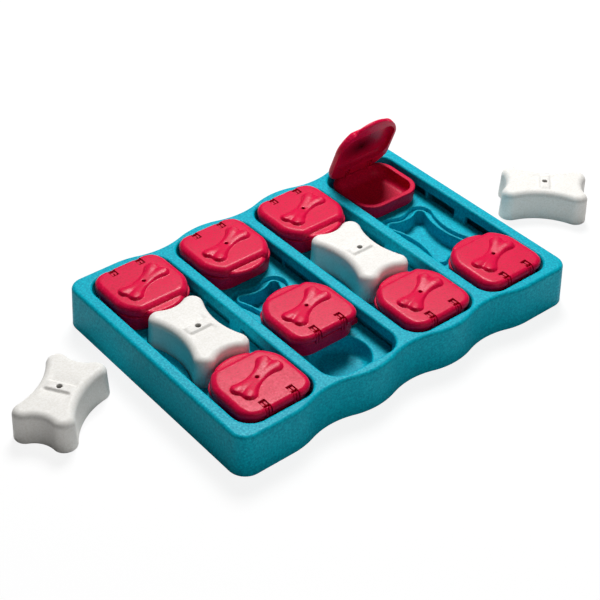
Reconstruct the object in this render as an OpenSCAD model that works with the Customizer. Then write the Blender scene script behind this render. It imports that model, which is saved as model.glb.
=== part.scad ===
// Dog puzzle feeder: a moulded tray with four lanes, eight sliding flip-lid boxes
// and four hollow bone blocks. Millimetres, +Z up, origin under the tray's centre,
// +X across the lanes, +Y along them.

/* [Tray] */
// Width of a lane at its rim
lane_w = 68.5; // [67.5:0.5:76]
// Width of the divider between two lanes
divider_w = 10.5; // [9:0.5:16]
// Length of a lane at its rim
lane_l = 204; // [190:0.5:230]
// Radius of a lane's corners
lane_corner_r = 16; // [14:0.5:20]
// Distance from a lane's end to the middle of its end seat
seat_inset = 31.8; // [31.4:0.1:32]
// Height of the tray
tray_h = 36; // [34:0.5:40]
// Height of the lane floors above the table
floor_z = 20; // [19:0.5:22]
// Width of the side rims at the foot
rim_side = 12.75; // [10:0.25:20]
// Width of the end rims at a wave crest, at the foot
rim_end = 11.1; // [10:0.1:16]
// Height of a wave of the long sides, from middle line to crest
wave_amp = 3.2; // [2:0.1:4]
// Radius of the tray's corners
tray_corner_r = 14.4; // [12:0.2:20]
// How far the outer walls lean in from foot to rim
tray_draft = 1.7; // [0.5:0.1:2.5]
// Rounding of the outer rim edge
rim_round = 3.5; // [2:0.25:4]
// Rounding of a lane's rim edge
lane_round = 2.2; // [1:0.2:2.6]
// How far a lane wall leans in from rim to floor
lane_draft = 1; // [0.2:0.1:1.2]
// Wall thickness of the moulding
skin = 2.6; // [2:0.1:3]
// Wall thickness of the outer skirt
skirt = 3; // [2:0.1:4]
// Thickness of the ribs under the tray
rib_t = 2.4; // [1.6:0.1:4]

/* [Wells] */
// Radius of a round well at the lane floor
well_r = 23.5; // [18:0.5:24]
// Height of the well floors above the table
well_z = 8; // [6:0.5:12]
// Rounding of a round well's mouth
well_lip = 1.6; // [0.5:0.1:2]
// Inner rounding of a round well's foot
well_foot = 6; // [2:0.5:9]
// Depth of the groove that a bone block drops into
groove_d = 3.5; // [2:0.25:5]
// Thickness of the ridge between groove and well
ridge_t = 2.2; // [1.6:0.1:3]

/* [Runner slots] */
// Height of the slots in the lane walls
slot_h = 8; // [6:0.5:9]
// Half width of the bridge that parts the two slots of a wall
bridge_half = 6.5; // [5:0.25:7]
// Length of the runner on each side of a box
runner_l = 13; // [8:0.5:15]
// Height of the runner
runner_h = 5; // [3:0.25:6]
// How far a runner reaches past the lane wall
runner_in = 1.6; // [1:0.1:2]
// Clearance round a runner
runner_gap = 0.5; // [0.3:0.05:0.8]

/* [Boxes] */
// Width of a box at its rim
box_w = 62.4; // [60:0.2:63]
// Distance from a box's centre to its inner end
box_inner = 27.7; // [27:0.1:28.5]
// Distance from a box's centre to its hinge end
box_outer = 28.5; // [28:0.1:29]
// Radius of a box's corners
box_corner_r = 17; // [14:0.5:19]
// Height of a box's rim above the table
box_rim_z = 33; // [31:0.25:34]
// Running gap under a box
box_gap = 0.3; // [0.2:0.05:0.6]
// Wall thickness at the rim
box_wall = 4.4; // [3:0.1:5]
// Floor thickness
box_floor = 2; // [1.5:0.1:3]
// How far the outer walls lean in from rim to foot
box_draft = 1; // [0.2:0.1:1.5]
// Inner rounding of the box floor
box_scoop = 7; // [3:0.5:8]
// Rounding of the rim and foot edges
box_round = 1; // [0.5:0.1:1.4]

/* [Lids] */
// Width of a lid
lid_w = 63.4; // [61:0.2:64]
// Thickness of a lid at its hinge
lid_t = 7.8; // [7.4:0.1:8.4]
// Gap between a closed lid and its box's rim
lid_gap = 0.4; // [0.3:0.05:0.8]
// Skin of the lid above its hollow
lid_skin = 2.4; // [1.8:0.1:3]
// Rounding of the upper edges
lid_round = 4.5; // [3:0.25:4.8]
// Radius of the corners at the hinge end
lid_corner_r = 14.5; // [12:0.5:16]
// Distance from the centre to the step above the finger lip
lip_step = 27; // [25:0.25:27.5]
// Distance from the centre to the finger lip's edge
lip_reach = 33.8; // [30:0.1:34.4]
// Thickness of the finger lip
lip_t = 4; // [3:0.1:4.5]
// Distance from a box's centre to its hinge axis
hinge_y = 26.3; // [26:0.1:26.6]
// Radius of the hinge pins on a lid
pin_r = 1.5; // [1.2:0.05:1.8]
// Running clearance between a pin and its clip, on the radius
pin_gap = 0.08; // [0.03:0.01:0.1]
// Outer radius of a hinge clip
clip_r = 3; // [2.8:0.05:3.1]
// Width of a hinge clip
clip_w = 4.6; // [3.4:0.1:5]
// Mouth of a hinge clip, narrower than the pin
clip_mouth = 2.2; // [1.8:0.1:2.4]
// Distance from a box's centre line to a hinge clip
clip_x = 12.3; // [11:0.1:14]
// Width of the windows in a lid
window_w = 6; // [5.6:0.1:7]
// Length of a window, inwards from the hinge axis
window_in = 6.5; // [5.5:0.1:7]
// Angle at which the fourth back lid stands open
lid_open = 70; // [0:1:110]

/* [Bone blocks] */
// Height of a bone block
bone_h = 27.5; // [25:0.25:30]
// Distance from the middle of an end seat to a seated block's horns
bone_inset = 32.7; // [32:0.1:34]
// Half width at the horns
bone_half_w = 26; // [25:0.1:26.5]
// Depth of the hollow between two horns at an end
bone_hollow_l = 4.5; // [3:0.1:6]
// Depth of the hollow between two horns along a side
bone_hollow_w = 6; // [5:0.1:7]
// Radius of the horns
bone_horn_r = 8; // [7:0.1:9]
// Rounding of the upper edge
bone_round = 4.5; // [3:0.25:5]
// How far the walls lean in from foot to shoulder
bone_draft = 1; // [0.2:0.1:1.5]
// Wall thickness of a bone block
bone_wall = 2.6; // [2:0.1:3]
// Clearance of a bone block in its groove
bone_gap = 0.8; // [0.4:0.1:1]
// Radius of the small scent hole
bone_hole_r = 2.2; // [1:0.1:3]
// Distance from the scent hole to the middle of the thumb recess
thumb_y = 6; // [4:0.5:12]
// Depth of the thumb recess
thumb_d = 2; // [1:0.1:2.2]
// Rounding of the recess along the block
thumb_tube = 5; // [3:0.5:8]
// Rounding of the recess across the block
thumb_r = 16; // [12:0.5:24]

/* [Bone figure on the lids] */
// Half spacing of the lobes along the figure
fig_a = 18.3; // [15:0.1:19]
// Half spacing of the lobes across the figure
fig_b = 5.9; // [5.2:0.1:6.5]
// Radius of a lobe
fig_r = 5.5; // [5:0.1:6]
// Half width of the figure's shank
fig_shank = 4.6; // [4:0.1:5]
// Distance from the figure's centre to the notch between two lobes
fig_notch = 21.8; // [21:0.1:22.4]
// Height of the figure above the lid
fig_h = 2.2; // [1:0.1:3]
// How far the figure's walls lean in
fig_lean = 0.3; // [0.2:0.1:0.5]
// Turn of the figure from the hinge line
fig_turn = 21; // [0:1:40]
// Radius of the small hole in the figure
fig_hole_r = 1.5; // [1:0.1:2]

/* [Places] */
// How far the second front box is pushed towards the middle
box_2_push = 40.7; // [0:0.1:60]
// Left loose block, distance of its middle from the tray's side
loose_left_out = 59.5; // [50:0.5:95]
// Left loose block, distance behind the tray's centre
loose_left_y = 22.5; // [-60:0.5:60]
// Left loose block, turn
loose_left_turn = -56.5; // [-90:0.5:90]
// Right loose block, distance of its middle from the tray's side
loose_right_out = 79.5; // [50:0.5:115]
// Right loose block, distance behind the tray's centre
loose_right_y = -10; // [-60:0.5:60]
// Right loose block, turn
loose_right_turn = -135; // [-180:0.5:180]

/* [Hidden] */
$fn = 72;
eps = 0.01;
through = 2;
lap = 0.02; // how far two rounds that meet run into each other

TEAL = [0.10, 0.62, 0.68];
RED = [0.86, 0.09, 0.24];
WHITE = [0.93, 0.92, 0.90];

lanes = 4;
lane_pitch = lane_w + divider_w;
seat_pitch = lane_l / 2 - seat_inset;
half_x = (lanes - 1) / 2 * lane_pitch + lane_w / 2 + rim_side;
half_y = lane_l / 2 + rim_end;
outer_lane_x = (lanes - 1) / 2 * lane_pitch;
wave_r = (pow(lane_pitch / 4, 2) + pow(wave_amp, 2)) / (2 * wave_amp);
crest_cy = half_y - wave_r;
trough_cy = half_y - 2 * wave_amp + wave_r;
lane_depth = tray_h - floor_z;
lane_half_floor = lane_w / 2 - lane_draft;
under_z = floor_z - skin;
well_lean = 1.2;
rib_gap = 0.4;

box_z = floor_z + box_gap;
box_h = box_rim_z - box_z;
box_mid_y = (box_inner - box_outer) / 2;
box_cy = (box_inner + box_outer) / 2 - box_corner_r;
box_cx = box_w / 2 - box_corner_r;
runner_reach = lane_half_floor + runner_in;
runner_from = bridge_half + runner_gap;

lid_z = box_rim_z + lid_gap;
lid_top = lid_z + lid_t;
barrel_r = lid_t / 2;
hinge_z = lid_z + barrel_r;
clip_root = 2;
clip_relief = 0.8;
lid_end = hinge_y + barrel_r;
lid_arc_y = 1.2; // centre of the finger lip's arc
lid_arc_r = lip_reach - lid_arc_y;
lid_cy = (lip_step + lid_end) / 2 - lid_corner_r;
lid_mid_y = (lip_step - lid_end) / 2;
lid_wall = 2.4;
lid_nose = 1.9;
lid_hollow_round = 3;
fig_root = 1;
fig_edge = 0.4;
fig_round = fig_h - fig_edge;
pin_hold = 1;

bone_z = floor_z - groove_d;
bone_half_l = seat_pitch - bone_inset;
bone_waist_l = bone_half_l - bone_hollow_l;
bone_waist_w = bone_half_w - bone_hollow_w;
horn_x = bone_half_w - bone_horn_r;
horn_y = bone_half_l - bone_horn_r;

function lane_x(lane) = (lane - (lanes + 1) / 2) * lane_pitch;

// Radius of the hollow arc that touches two lobes of radius r, standing a either side
// of the arc's centre line, with its waist a distance d past the line of their centres.
function hollow_r(a, d, r) = (a * a + d * d - r * r) / (2 * (r - d));

// ---- shapes shared by several parts ----

// Half section of a wall that ends h high at radius r, leans by lean and has a rounded top edge.
module wall_section(r, h, top, lean) {
    polygon([[0, 0], [r + lean, 0], [r, h - top], [0, h - top]]);
    square([r - top, h]);
    translate([r - top, h - top]) intersection() {
        circle(top);
        square(top);
    }
}

// Half section of the space inside such a wall's mirror image: a hollow that opens upwards
// from radius r - lean to radius r, with its mouth flared by a rounding.
module mouth_section(r, h, flare, lean) {
    difference() {
        polygon([[0, 0], [r - lean, 0], [r, h - flare], [r + flare, h - flare],
            [r + flare, h + through], [0, h + through]]);
        translate([r + flare, h - flare]) circle(flare);
    }
}

// Block with rounded corners whose wall section, drawn from its corner centres outwards, is children().
module swept_block(cx, cy, h) {
    for (x = [-cx, cx], y = [-cy, cy]) translate([x, y, 0]) rotate_extrude() children();
    rotate([90, 0, 0]) linear_extrude(2 * cy, center = true) block_section(cx, h) children();
    rotate([90, 0, 90]) linear_extrude(2 * cx, center = true) block_section(cy, h) children();
}

module block_section(c, h) {
    for (side = [0, 1]) mirror([side, 0]) translate([c, 0]) children();
    translate([-c, 0]) square([2 * c, h]);
}

// Plan of a bone: four lobes at (a, b) joined by hollow arcs with their waists at wa and wb.
module bone_plan(a, b, r, wa, wb, grow = 0) {
    ra = hollow_r(b, wa - a, r);
    rb = hollow_r(a, wb - b, r);
    difference() {
        polygon([[a, b], [wa + ra, 0], [a, -b], [0, -wb - rb], [-a, -b], [-wa - ra, 0], [-a, b],
            [0, wb + rb]]);
        for (s = [-1, 1]) {
            translate([s * (wa + ra), 0]) circle(ra - grow, $fn = 144);
            translate([0, s * (wb + rb)]) circle(rb - grow, $fn = 144);
        }
    }
    for (x = [-a, a], y = [-b, b]) translate([x, y]) circle(r + grow + lap);
}

// Solid on the same plan, measured at its foot, with leaning walls and a rounded top edge.
module bone_solid(a, b, r, wa, wb, h, top, lean) {
    ra = hollow_r(b, wa - a, r);
    rb = hollow_r(a, wb - b, r);
    difference() {
        linear_extrude(h) polygon([[a, b], [wa + ra, 0], [a, -b], [0, -wb - rb], [-a, -b],
            [-wa - ra, 0], [-a, b], [0, wb + rb]]);
        for (s = [-1, 1]) {
            translate([s * (wa + ra), 0, 0]) hollow_cutter(ra, h, top, lean);
            translate([0, s * (wb + rb), 0]) hollow_cutter(rb, h, top, lean);
        }
    }
    for (x = [-a, a], y = [-b, b]) translate([x, y, 0]) rotate_extrude()
        wall_section(r - lean + lap, h, top, lean);
}

module hollow_cutter(r, h, top, lean) {
    rotate_extrude($fn = 144) translate([0, -through]) union() {
        square([r, through + eps]);
        translate([0, through]) mouth_section(r + lean, h, top, lean);
    }
}

module block_plan(grow = 0) {
    bone_plan(horn_x, horn_y, bone_horn_r, bone_waist_w, bone_waist_l, grow);
}

// ---- tray ----

// Outer form of the tray: square-ended beyond the outer lanes, waved between them.
module tray_form() {
    intersection() {
        swept_block(half_x - tray_corner_r, half_y - tray_corner_r, tray_h)
            wall_section(tray_corner_r - tray_draft, tray_h, rim_round, tray_draft);
        for (side = [-1, 1]) translate([side * (outer_lane_x + half_x / 2), 0, tray_h / 2])
            cube([half_x, 3 * half_y, 2 * tray_h], center = true);
    }
    for (end = [0, 1]) mirror([0, end, 0]) {
        for (lane = [1 : lanes]) wave_crest(lane);
        difference() {
            linear_extrude(tray_h) wave_star();
            for (k = [1 : lanes - 1]) translate([lane_x(k) + lane_pitch / 2, trough_cy, 0])
                rotate_extrude($fn = 180) translate([0, -through]) union() {
                    square([wave_r, through + eps]);
                    translate([0, through])
                        mouth_section(wave_r + tray_draft, tray_h, rim_round, tray_draft);
                }
        }
    }
}

// Crest of the wave at a lane's end, between the centre lines to the troughs beside it.
module wave_crest(lane) {
    left = lane > 1 ? lane_x(lane) - lane_pitch / 2 : lane_x(lane);
    right = lane < lanes ? lane_x(lane) + lane_pitch / 2 : lane_x(lane);
    intersection() {
        translate([lane_x(lane), crest_cy, 0]) rotate_extrude($fn = 180)
            wall_section(wave_r - tray_draft, tray_h, rim_round, tray_draft);
        linear_extrude(tray_h)
            polygon([[lane_x(lane), crest_cy], [right, trough_cy], [left, trough_cy]]);
    }
}

// Zigzag through the centres of the waves of one long side.
module wave_star() {
    polygon(concat([[-outer_lane_x, -eps]],
        [for (k = [0 : 2 * (lanes - 1)])
            [-outer_lane_x + k * lane_pitch / 2, k % 2 == 0 ? crest_cy : trough_cy]],
        [[outer_lane_x, -eps]]));
}

// Plan of the space inside the skirt.
module tray_plan(inset) {
    x = half_x - inset;
    y = half_y - inset;
    r = tray_corner_r - inset;
    for (side = [0, 1]) mirror([side, 0]) {
        translate([outer_lane_x - eps, r - y]) square([x - outer_lane_x + eps, 2 * (y - r)]);
        translate([outer_lane_x - eps, lap - y])
            square([x - r - outer_lane_x + eps, 2 * (y - lap)]);
        for (end = [-1, 1]) translate([x - r, end * (y - r)]) circle(r + lap);
    }
    for (end = [0, 1]) mirror([0, end]) {
        intersection() {
            for (lane = [1 : lanes]) translate([lane_x(lane), crest_cy])
                circle(wave_r - inset + lap, $fn = 180);
            square([2 * outer_lane_x, 3 * half_y], center = true);
        }
        difference() {
            wave_star();
            for (k = [1 : lanes - 1]) translate([lane_x(k) + lane_pitch / 2, trough_cy])
                circle(wave_r + inset, $fn = 180);
        }
    }
}

// Space of one lane, from its floor up.
module lane_space() {
    translate([0, 0, floor_z])
        swept_block(lane_w / 2 - lane_corner_r, lane_l / 2 - lane_corner_r, lane_depth)
            mouth_section(lane_corner_r, lane_depth, lane_round, lane_draft);
}

// Section of a round well, or of the cup of wall round it when wall > 0.
module well_section(wall = 0) {
    r = well_r + wall;
    d = floor_z - well_z;
    foot = well_foot + wall;
    square([r - well_lean - foot, d / 2]);
    translate([r - well_lean - foot, foot]) intersection() {
        circle(foot);
        translate([0, -foot]) square([foot, foot + eps]);
    }
    polygon([[0, foot], [r - well_lean, foot], [r, d], [0, d]]);
}

module round_well() {
    translate([0, 0, well_z]) rotate_extrude() {
        well_section();
        translate([0, floor_z - well_z - well_lip]) difference() {
            square([well_r + well_lip, well_lip + through]);
            translate([well_r + well_lip, 0]) circle(well_lip);
        }
    }
}

module round_well_cup() {
    translate([0, 0, well_z - skin]) rotate_extrude() well_section(skin);
}

// Groove and inner well that take a bone block at a lane's middle.
module bone_seat() {
    translate([0, 0, bone_z]) linear_extrude(groove_d + through) difference() {
        block_plan(bone_gap);
        block_plan(-bone_wall - bone_gap);
    }
    translate([0, 0, well_z]) linear_extrude(lane_depth + through)
        block_plan(-bone_wall - bone_gap - ridge_t);
}

module bone_seat_cup() {
    translate([0, 0, bone_z - skin]) linear_extrude(groove_d + eps) block_plan(bone_gap + skin);
    translate([0, 0, well_z - skin]) linear_extrude(floor_z - well_z)
        block_plan(-bone_wall - bone_gap - ridge_t + skin);
}

// Plan of the hollow in the rims and dividers, behind the lane walls.
module rim_hollow_plan() {
    r = lane_corner_r + skin;
    difference() {
        tray_plan(skirt + tray_draft);
        for (lane = [1 : lanes]) translate([lane_x(lane), 0]) {
            square([lane_w + 2 * skin - lane_draft, 2 * (lane_l / 2 - lane_corner_r)], center = true);
            square([2 * (lane_w / 2 - lane_corner_r), lane_l + 2 * skin], center = true);
            for (x = [-1, 1], y = [-1, 1])
                translate([x * (lane_w / 2 - lane_corner_r), y * (lane_l / 2 - lane_corner_r)])
                    circle(r - lane_draft / 2);
        }
    }
}

module runner_slot(x0, x1) {
    for (end = [0, 1]) mirror([0, end, 0])
        translate([x0, bridge_half, floor_z])
            cube([x1 - x0, seat_pitch + runner_l + 2 * runner_gap, slot_h]);
}

// The stretch of the tray beside one half of a lane, out to the middle of each divider.
module lane_stretch(lane, end) {
    left = lane > 1 ? lane_x(lane) - lane_pitch / 2 : -half_x - through;
    right = lane < lanes ? lane_x(lane) + lane_pitch / 2 : half_x + through;
    translate([left, end < 0 ? -half_y - through : 0, -through])
        cube([right - left, half_y + through, tray_h + 2 * through]);
}

// The rims, skirt and ribs round one half of a lane: one moulding with the others and the pans.
module tray_rim(lane, end) color(TEAL) difference() {
    intersection() {
        tray_form();
        lane_stretch(lane, end);
    }
    translate([lane_x(lane), 0, 0]) {
        lane_space();
        lane_block(skin + 2 * eps);
        runner_slot(-lane_w / 2 - skin, lane_w / 2 + skin);
    }
    difference() {
        union() {
            translate([0, 0, -through]) linear_extrude(under_z + through)
                tray_plan(skirt + tray_draft / 2);
            translate([0, 0, under_z - eps]) linear_extrude(tray_h - skin - under_z)
                rim_hollow_plan();
        }
        ribs();
    }
}

// Block on the plan of a lane's floor, from the floor's underside up.
module lane_block(h) {
    translate([0, 0, under_z - eps])
        swept_block(lane_w / 2 - lane_corner_r, lane_l / 2 - lane_corner_r, h)
            square([lane_corner_r - lane_draft, h]);
}

module ribs() {
    for (k = [1 : lanes - 1]) translate([lane_x(k) + lane_pitch / 2, 0, 0])
        cube([rib_t, 3 * half_y, 3 * tray_h], center = true);
    for (end = [-1, 1]) translate([0, end * (seat_pitch - well_r - skin - rib_gap - rib_t / 2), 0])
        cube([3 * half_x, rib_t, 3 * tray_h], center = true);
}

// Floor pan of a lane with its three wells.
module lane_pan() color(TEAL) difference() {
    union() {
        lane_block(skin + eps);
        bone_seat_cup();
        for (end = [-1, 1]) translate([0, end * seat_pitch, 0]) round_well_cup();
    }
    bone_seat();
    for (end = [-1, 1]) translate([0, end * seat_pitch, 0]) round_well();
}

// ---- boxes ----

// A box stands at the origin with its hinge end towards -Y.
module box() color(RED) {
    difference() {
        union() {
            translate([0, box_mid_y, box_z]) swept_block(box_cx, box_cy, box_h)
                box_section(box_corner_r, box_h);
            for (x = [-clip_x, clip_x]) translate([x, -hinge_y, 0]) hinge_clip();
            for (side = [0, 1]) mirror([side, 0, 0])
                translate([box_cx, -runner_from - runner_l, box_z])
                    cube([runner_reach - box_cx, runner_l, runner_h]);
        }
        translate([0, box_mid_y, box_z + box_floor]) swept_block(box_cx, box_cy, box_h)
            box_space_section();
    }
}

// Outer wall of a box: leaning in towards a rounded foot, with a rounded rim edge.
module box_section(r, h) {
    foot = r - box_draft;
    difference() {
        polygon([[0, 0], [foot, 0], [r, h], [0, h]]);
        translate([r - box_round, h - box_round]) difference() {
            square(2 * box_round);
            circle(box_round);
        }
    }
}

// Space in a box: upright at the rim, with a scooped floor.
module box_space_section() {
    r = box_corner_r - box_wall;
    translate([0, box_scoop]) square([r, box_h + through]);
    square([r - box_scoop, box_h]);
    translate([r - box_scoop, box_scoop]) intersection() {
        circle(box_scoop);
        translate([0, -box_scoop]) square([box_scoop, box_scoop + eps]);
    }
}

// Snap clip round a hinge pin, on a neck that stands on the box's rim.
module hinge_clip() {
    translate([0, 0, hinge_z]) rotate([90, 0, 90]) linear_extrude(clip_w, center = true)
        difference() {
            union() {
                circle(clip_r);
                translate([-clip_r, box_rim_z - hinge_z - clip_root])
                    square([2 * clip_r - clip_relief, hinge_z - box_rim_z + clip_root]);
            }
            circle(pin_r + pin_gap);
            translate([-clip_mouth / 2, 0]) square([clip_mouth, 2 * clip_r]);
        }
}

// ---- lids ----

// A closed lid over a box at the origin, hinge end towards -Y, finger lip towards +Y.
module lid() color(RED) {
    difference() {
        union() {
            lid_form();
            translate([0, 0, lid_top - fig_root]) rotate(fig_turn)
                bone_solid(fig_a, fig_b, fig_r, fig_notch, fig_shank, fig_h + fig_root, fig_round,
                    fig_lean);
        }
        lid_hollow();
        translate([0, 0, lid_z]) cylinder(r = fig_hole_r, h = 2 * lid_t);
        for (x = [-clip_x, clip_x]) translate([x - window_w / 2, -hinge_y - lid_t, lid_z - through])
            cube([window_w, lid_t + window_in, lid_t + 2 * through]);
    }
    for (x = [-clip_x, clip_x]) translate([x, -hinge_y, hinge_z]) rotate([0, 90, 0])
        cylinder(r = pin_r, h = window_w + 2 * pin_hold, center = true);
}

module lid_form() {
    difference() {
        intersection() {
            translate([0, lid_mid_y, lid_z]) swept_block(lid_w / 2 - lid_corner_r, lid_cy, lid_t)
                wall_section(lid_corner_r, lid_t, lid_round, 0);
            union() {
                translate([0, lid_arc_y, lid_z]) rotate_extrude($fn = 144)
                    wall_section(lid_arc_r, lid_t, lid_round, 0);
                translate([-lid_w / 2, -lid_end - through, lid_z - through])
                    cube([lid_w, lid_end + through + lid_arc_y, lid_t + 2 * through]);
            }
        }
        difference() {
            translate([-lid_w, -hinge_y - lid_t, lid_z - through])
                cube([2 * lid_w, lid_t, lid_t + 2 * through]);
            translate([0, -hinge_y, hinge_z]) rotate([0, 90, 0])
                cylinder(r = barrel_r, h = 3 * lid_w, center = true);
        }
    }
    intersection() {
        translate([0, lid_arc_y, lid_z]) rotate_extrude($fn = 144) lip_section();
        translate([-lid_w / 2, lid_arc_y + lid_arc_r / 4, lid_z - through])
            cube([lid_w, lid_arc_r, lid_t]);
    }
}

// Half section of the disc whose edge is the finger lip's rounded nose.
module lip_section() {
    square([lid_arc_r - lid_nose, lip_t]);
    translate([lid_arc_r - lid_nose, lid_nose]) circle(lid_nose);
    translate([lid_arc_r - lid_nose, lip_t - lid_nose]) circle(lid_nose);
    translate([0, lid_nose]) square([lid_arc_r, lip_t - 2 * lid_nose]);
}

module lid_hollow() {
    r = lid_corner_r - lid_wall;
    from = -hinge_y + window_in + lid_wall;
    to = lip_step - 2 * lid_wall;
    translate([0, (from + to) / 2, lid_z - eps])
        swept_block(lid_w / 2 - lid_corner_r, (to - from) / 2 - r, lid_t - lid_skin)
            wall_section(r, lid_t - lid_skin, lid_hollow_round, 0);
}

// ---- bone blocks ----

// A hollow block at the origin of its seat, its foot on z = 0, its length along Y.
module bone_block() color(WHITE) difference() {
    bone_solid(horn_x, horn_y, bone_horn_r, bone_waist_w, bone_waist_l, bone_h, bone_round,
        bone_draft);
    translate([0, 0, -through]) linear_extrude(bone_h - bone_wall + through)
        block_plan(-bone_wall - bone_draft);
    linear_extrude(bone_h / 2) block_plan(-bone_wall);
    cylinder(r = bone_hole_r, h = 2 * bone_h);
    translate([0, -thumb_y, bone_h + thumb_r - thumb_d + thumb_tube])
        rotate([90, 0, 0]) rotate_extrude() translate([thumb_r, 0]) circle(thumb_tube);
}

// ---- placing ----

module at_seat(lane, end, push = 0) {
    translate([lane_x(lane), end * (seat_pitch - push), 0]) rotate(end > 0 ? 180 : 0) children();
}

module lid_turned(angle) {
    translate([0, -hinge_y, hinge_z]) rotate([angle, 0, 0]) translate([0, hinge_y, -hinge_z])
        children();
}

tray_rim(1, -1);  // tray_rim_1_front
tray_rim(1, 1);  // tray_rim_1_back
tray_rim(2, -1);  // tray_rim_2_front
tray_rim(2, 1);  // tray_rim_2_back
tray_rim(3, -1);  // tray_rim_3_front
tray_rim(3, 1);  // tray_rim_3_back
tray_rim(4, -1);  // tray_rim_4_front
tray_rim(4, 1);  // tray_rim_4_back
translate([lane_x(1), 0, 0]) lane_pan();  // tray_lane_1
translate([lane_x(2), 0, 0]) lane_pan();  // tray_lane_2
translate([lane_x(3), 0, 0]) lane_pan();  // tray_lane_3
translate([lane_x(4), 0, 0]) lane_pan();  // tray_lane_4
at_seat(1, -1) box();  // box_1_front
at_seat(1, 1) box();  // box_1_back
at_seat(2, -1, box_2_push) box();  // box_2_front
at_seat(2, 1) box();  // box_2_back
at_seat(3, -1) box();  // box_3_front
at_seat(3, 1) box();  // box_3_back
at_seat(4, -1) box();  // box_4_front
at_seat(4, 1) box();  // box_4_back
at_seat(1, -1) lid();  // lid_1_front
at_seat(1, 1) lid();  // lid_1_back
at_seat(2, -1, box_2_push) lid();  // lid_2_front
at_seat(2, 1) lid();  // lid_2_back
at_seat(3, -1) lid();  // lid_3_front
at_seat(3, 1) lid();  // lid_3_back
at_seat(4, -1) lid();  // lid_4_front
at_seat(4, 1) lid_turned(lid_open) lid();  // lid_4_back
translate([lane_x(1), 0, bone_z]) bone_block();  // bone_1
translate([-half_x - loose_left_out, loose_left_y, 0]) rotate(loose_left_turn) bone_block();  // bone_2
translate([lane_x(3), 0, bone_z]) bone_block();  // bone_3
translate([half_x + loose_right_out, loose_right_y, 0]) rotate(loose_right_turn) bone_block();  // bone_4
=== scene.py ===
"""Looks of the dog puzzle feeder: moulded tray, flip-lid boxes and hollow bone blocks.

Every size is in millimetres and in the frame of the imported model. A piece's mesh is scaled to
metres when its object is made.
"""

import sys

import logging
import math
from collections.abc import Callable, Mapping, Sequence
from dataclasses import dataclass, field
from enum import Enum

import bmesh
import bpy
import numpy as np
from mathutils import Matrix, Vector
from mathutils.geometry import delaunay_2d_cdt


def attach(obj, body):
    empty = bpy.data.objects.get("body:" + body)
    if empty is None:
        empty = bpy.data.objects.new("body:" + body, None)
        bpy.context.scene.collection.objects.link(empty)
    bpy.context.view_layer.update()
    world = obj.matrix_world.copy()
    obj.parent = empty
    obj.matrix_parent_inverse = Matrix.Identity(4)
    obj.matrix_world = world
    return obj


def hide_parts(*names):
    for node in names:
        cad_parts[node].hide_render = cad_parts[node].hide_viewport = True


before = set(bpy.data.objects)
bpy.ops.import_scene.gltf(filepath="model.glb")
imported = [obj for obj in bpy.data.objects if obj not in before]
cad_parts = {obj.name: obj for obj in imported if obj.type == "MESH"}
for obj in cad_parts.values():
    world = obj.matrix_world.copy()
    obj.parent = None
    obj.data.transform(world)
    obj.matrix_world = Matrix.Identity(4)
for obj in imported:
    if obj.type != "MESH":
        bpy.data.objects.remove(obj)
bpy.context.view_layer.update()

log = logging.getLogger("feeder")

# metres in a millimetre, and the distance in metres below which points are welded
MM = 0.001
WELD = 2e-6

# plans, in millimetres and radians: the flat strip past a rounding, the distance below which
# two points are one, the finest distance in a flat and the widest angle of one chord
STRIP = 0.1
SAME = 1e-4
FINEST = 1e-5
WIDEST = 0.2

# shading: the angles from which an edge is rounded or sharp, and the weight of large faces
ROUND_FROM = math.radians(40)
SHARP_FROM = math.radians(38)
FACE_WEIGHT = 60

Section = Sequence[tuple[float, float]]
Rungs = list[tuple[float, float]]
Colour = tuple[float, float, float, float]


class End(Enum):
    """Which end of its lane a box stands at, as the sign of its place along Y."""

    FRONT = -1
    BACK = 1


# ---- node graphs written as Python expressions ----


class Value:
    """A node's output that takes part in Python expressions."""

    def __init__(self, graph: "Graph", socket: bpy.types.NodeSocket) -> None:
        """Wraps an output socket of a graph.

        Args:
            graph: The graph that the socket is in.
            socket: The output socket.
        """
        self.graph = graph
        self.socket = socket

    def __add__(self, other: "Value | float") -> "Value":
        """The sum of two values."""
        return self.graph.math("ADD", self, other)

    def __sub__(self, other: "Value | float") -> "Value":
        """The difference of two values."""
        return self.graph.math("SUBTRACT", self, other)

    def __mul__(self, other: "Value | float") -> "Value":
        """The product of two values."""
        return self.graph.math("MULTIPLY", self, other)

    def __truediv__(self, other: "Value | float") -> "Value":
        """The quotient of two values."""
        return self.graph.math("DIVIDE", self, other)

    def __mod__(self, other: "Value | float") -> "Value":
        """The remainder, never below 0."""
        return self.graph.math("FLOORED_MODULO", self, other)

    def __rsub__(self, other: float) -> "Value":
        """A number less this value."""
        return self.graph.math("SUBTRACT", other, self)

    __radd__ = __add__
    __rmul__ = __mul__


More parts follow.
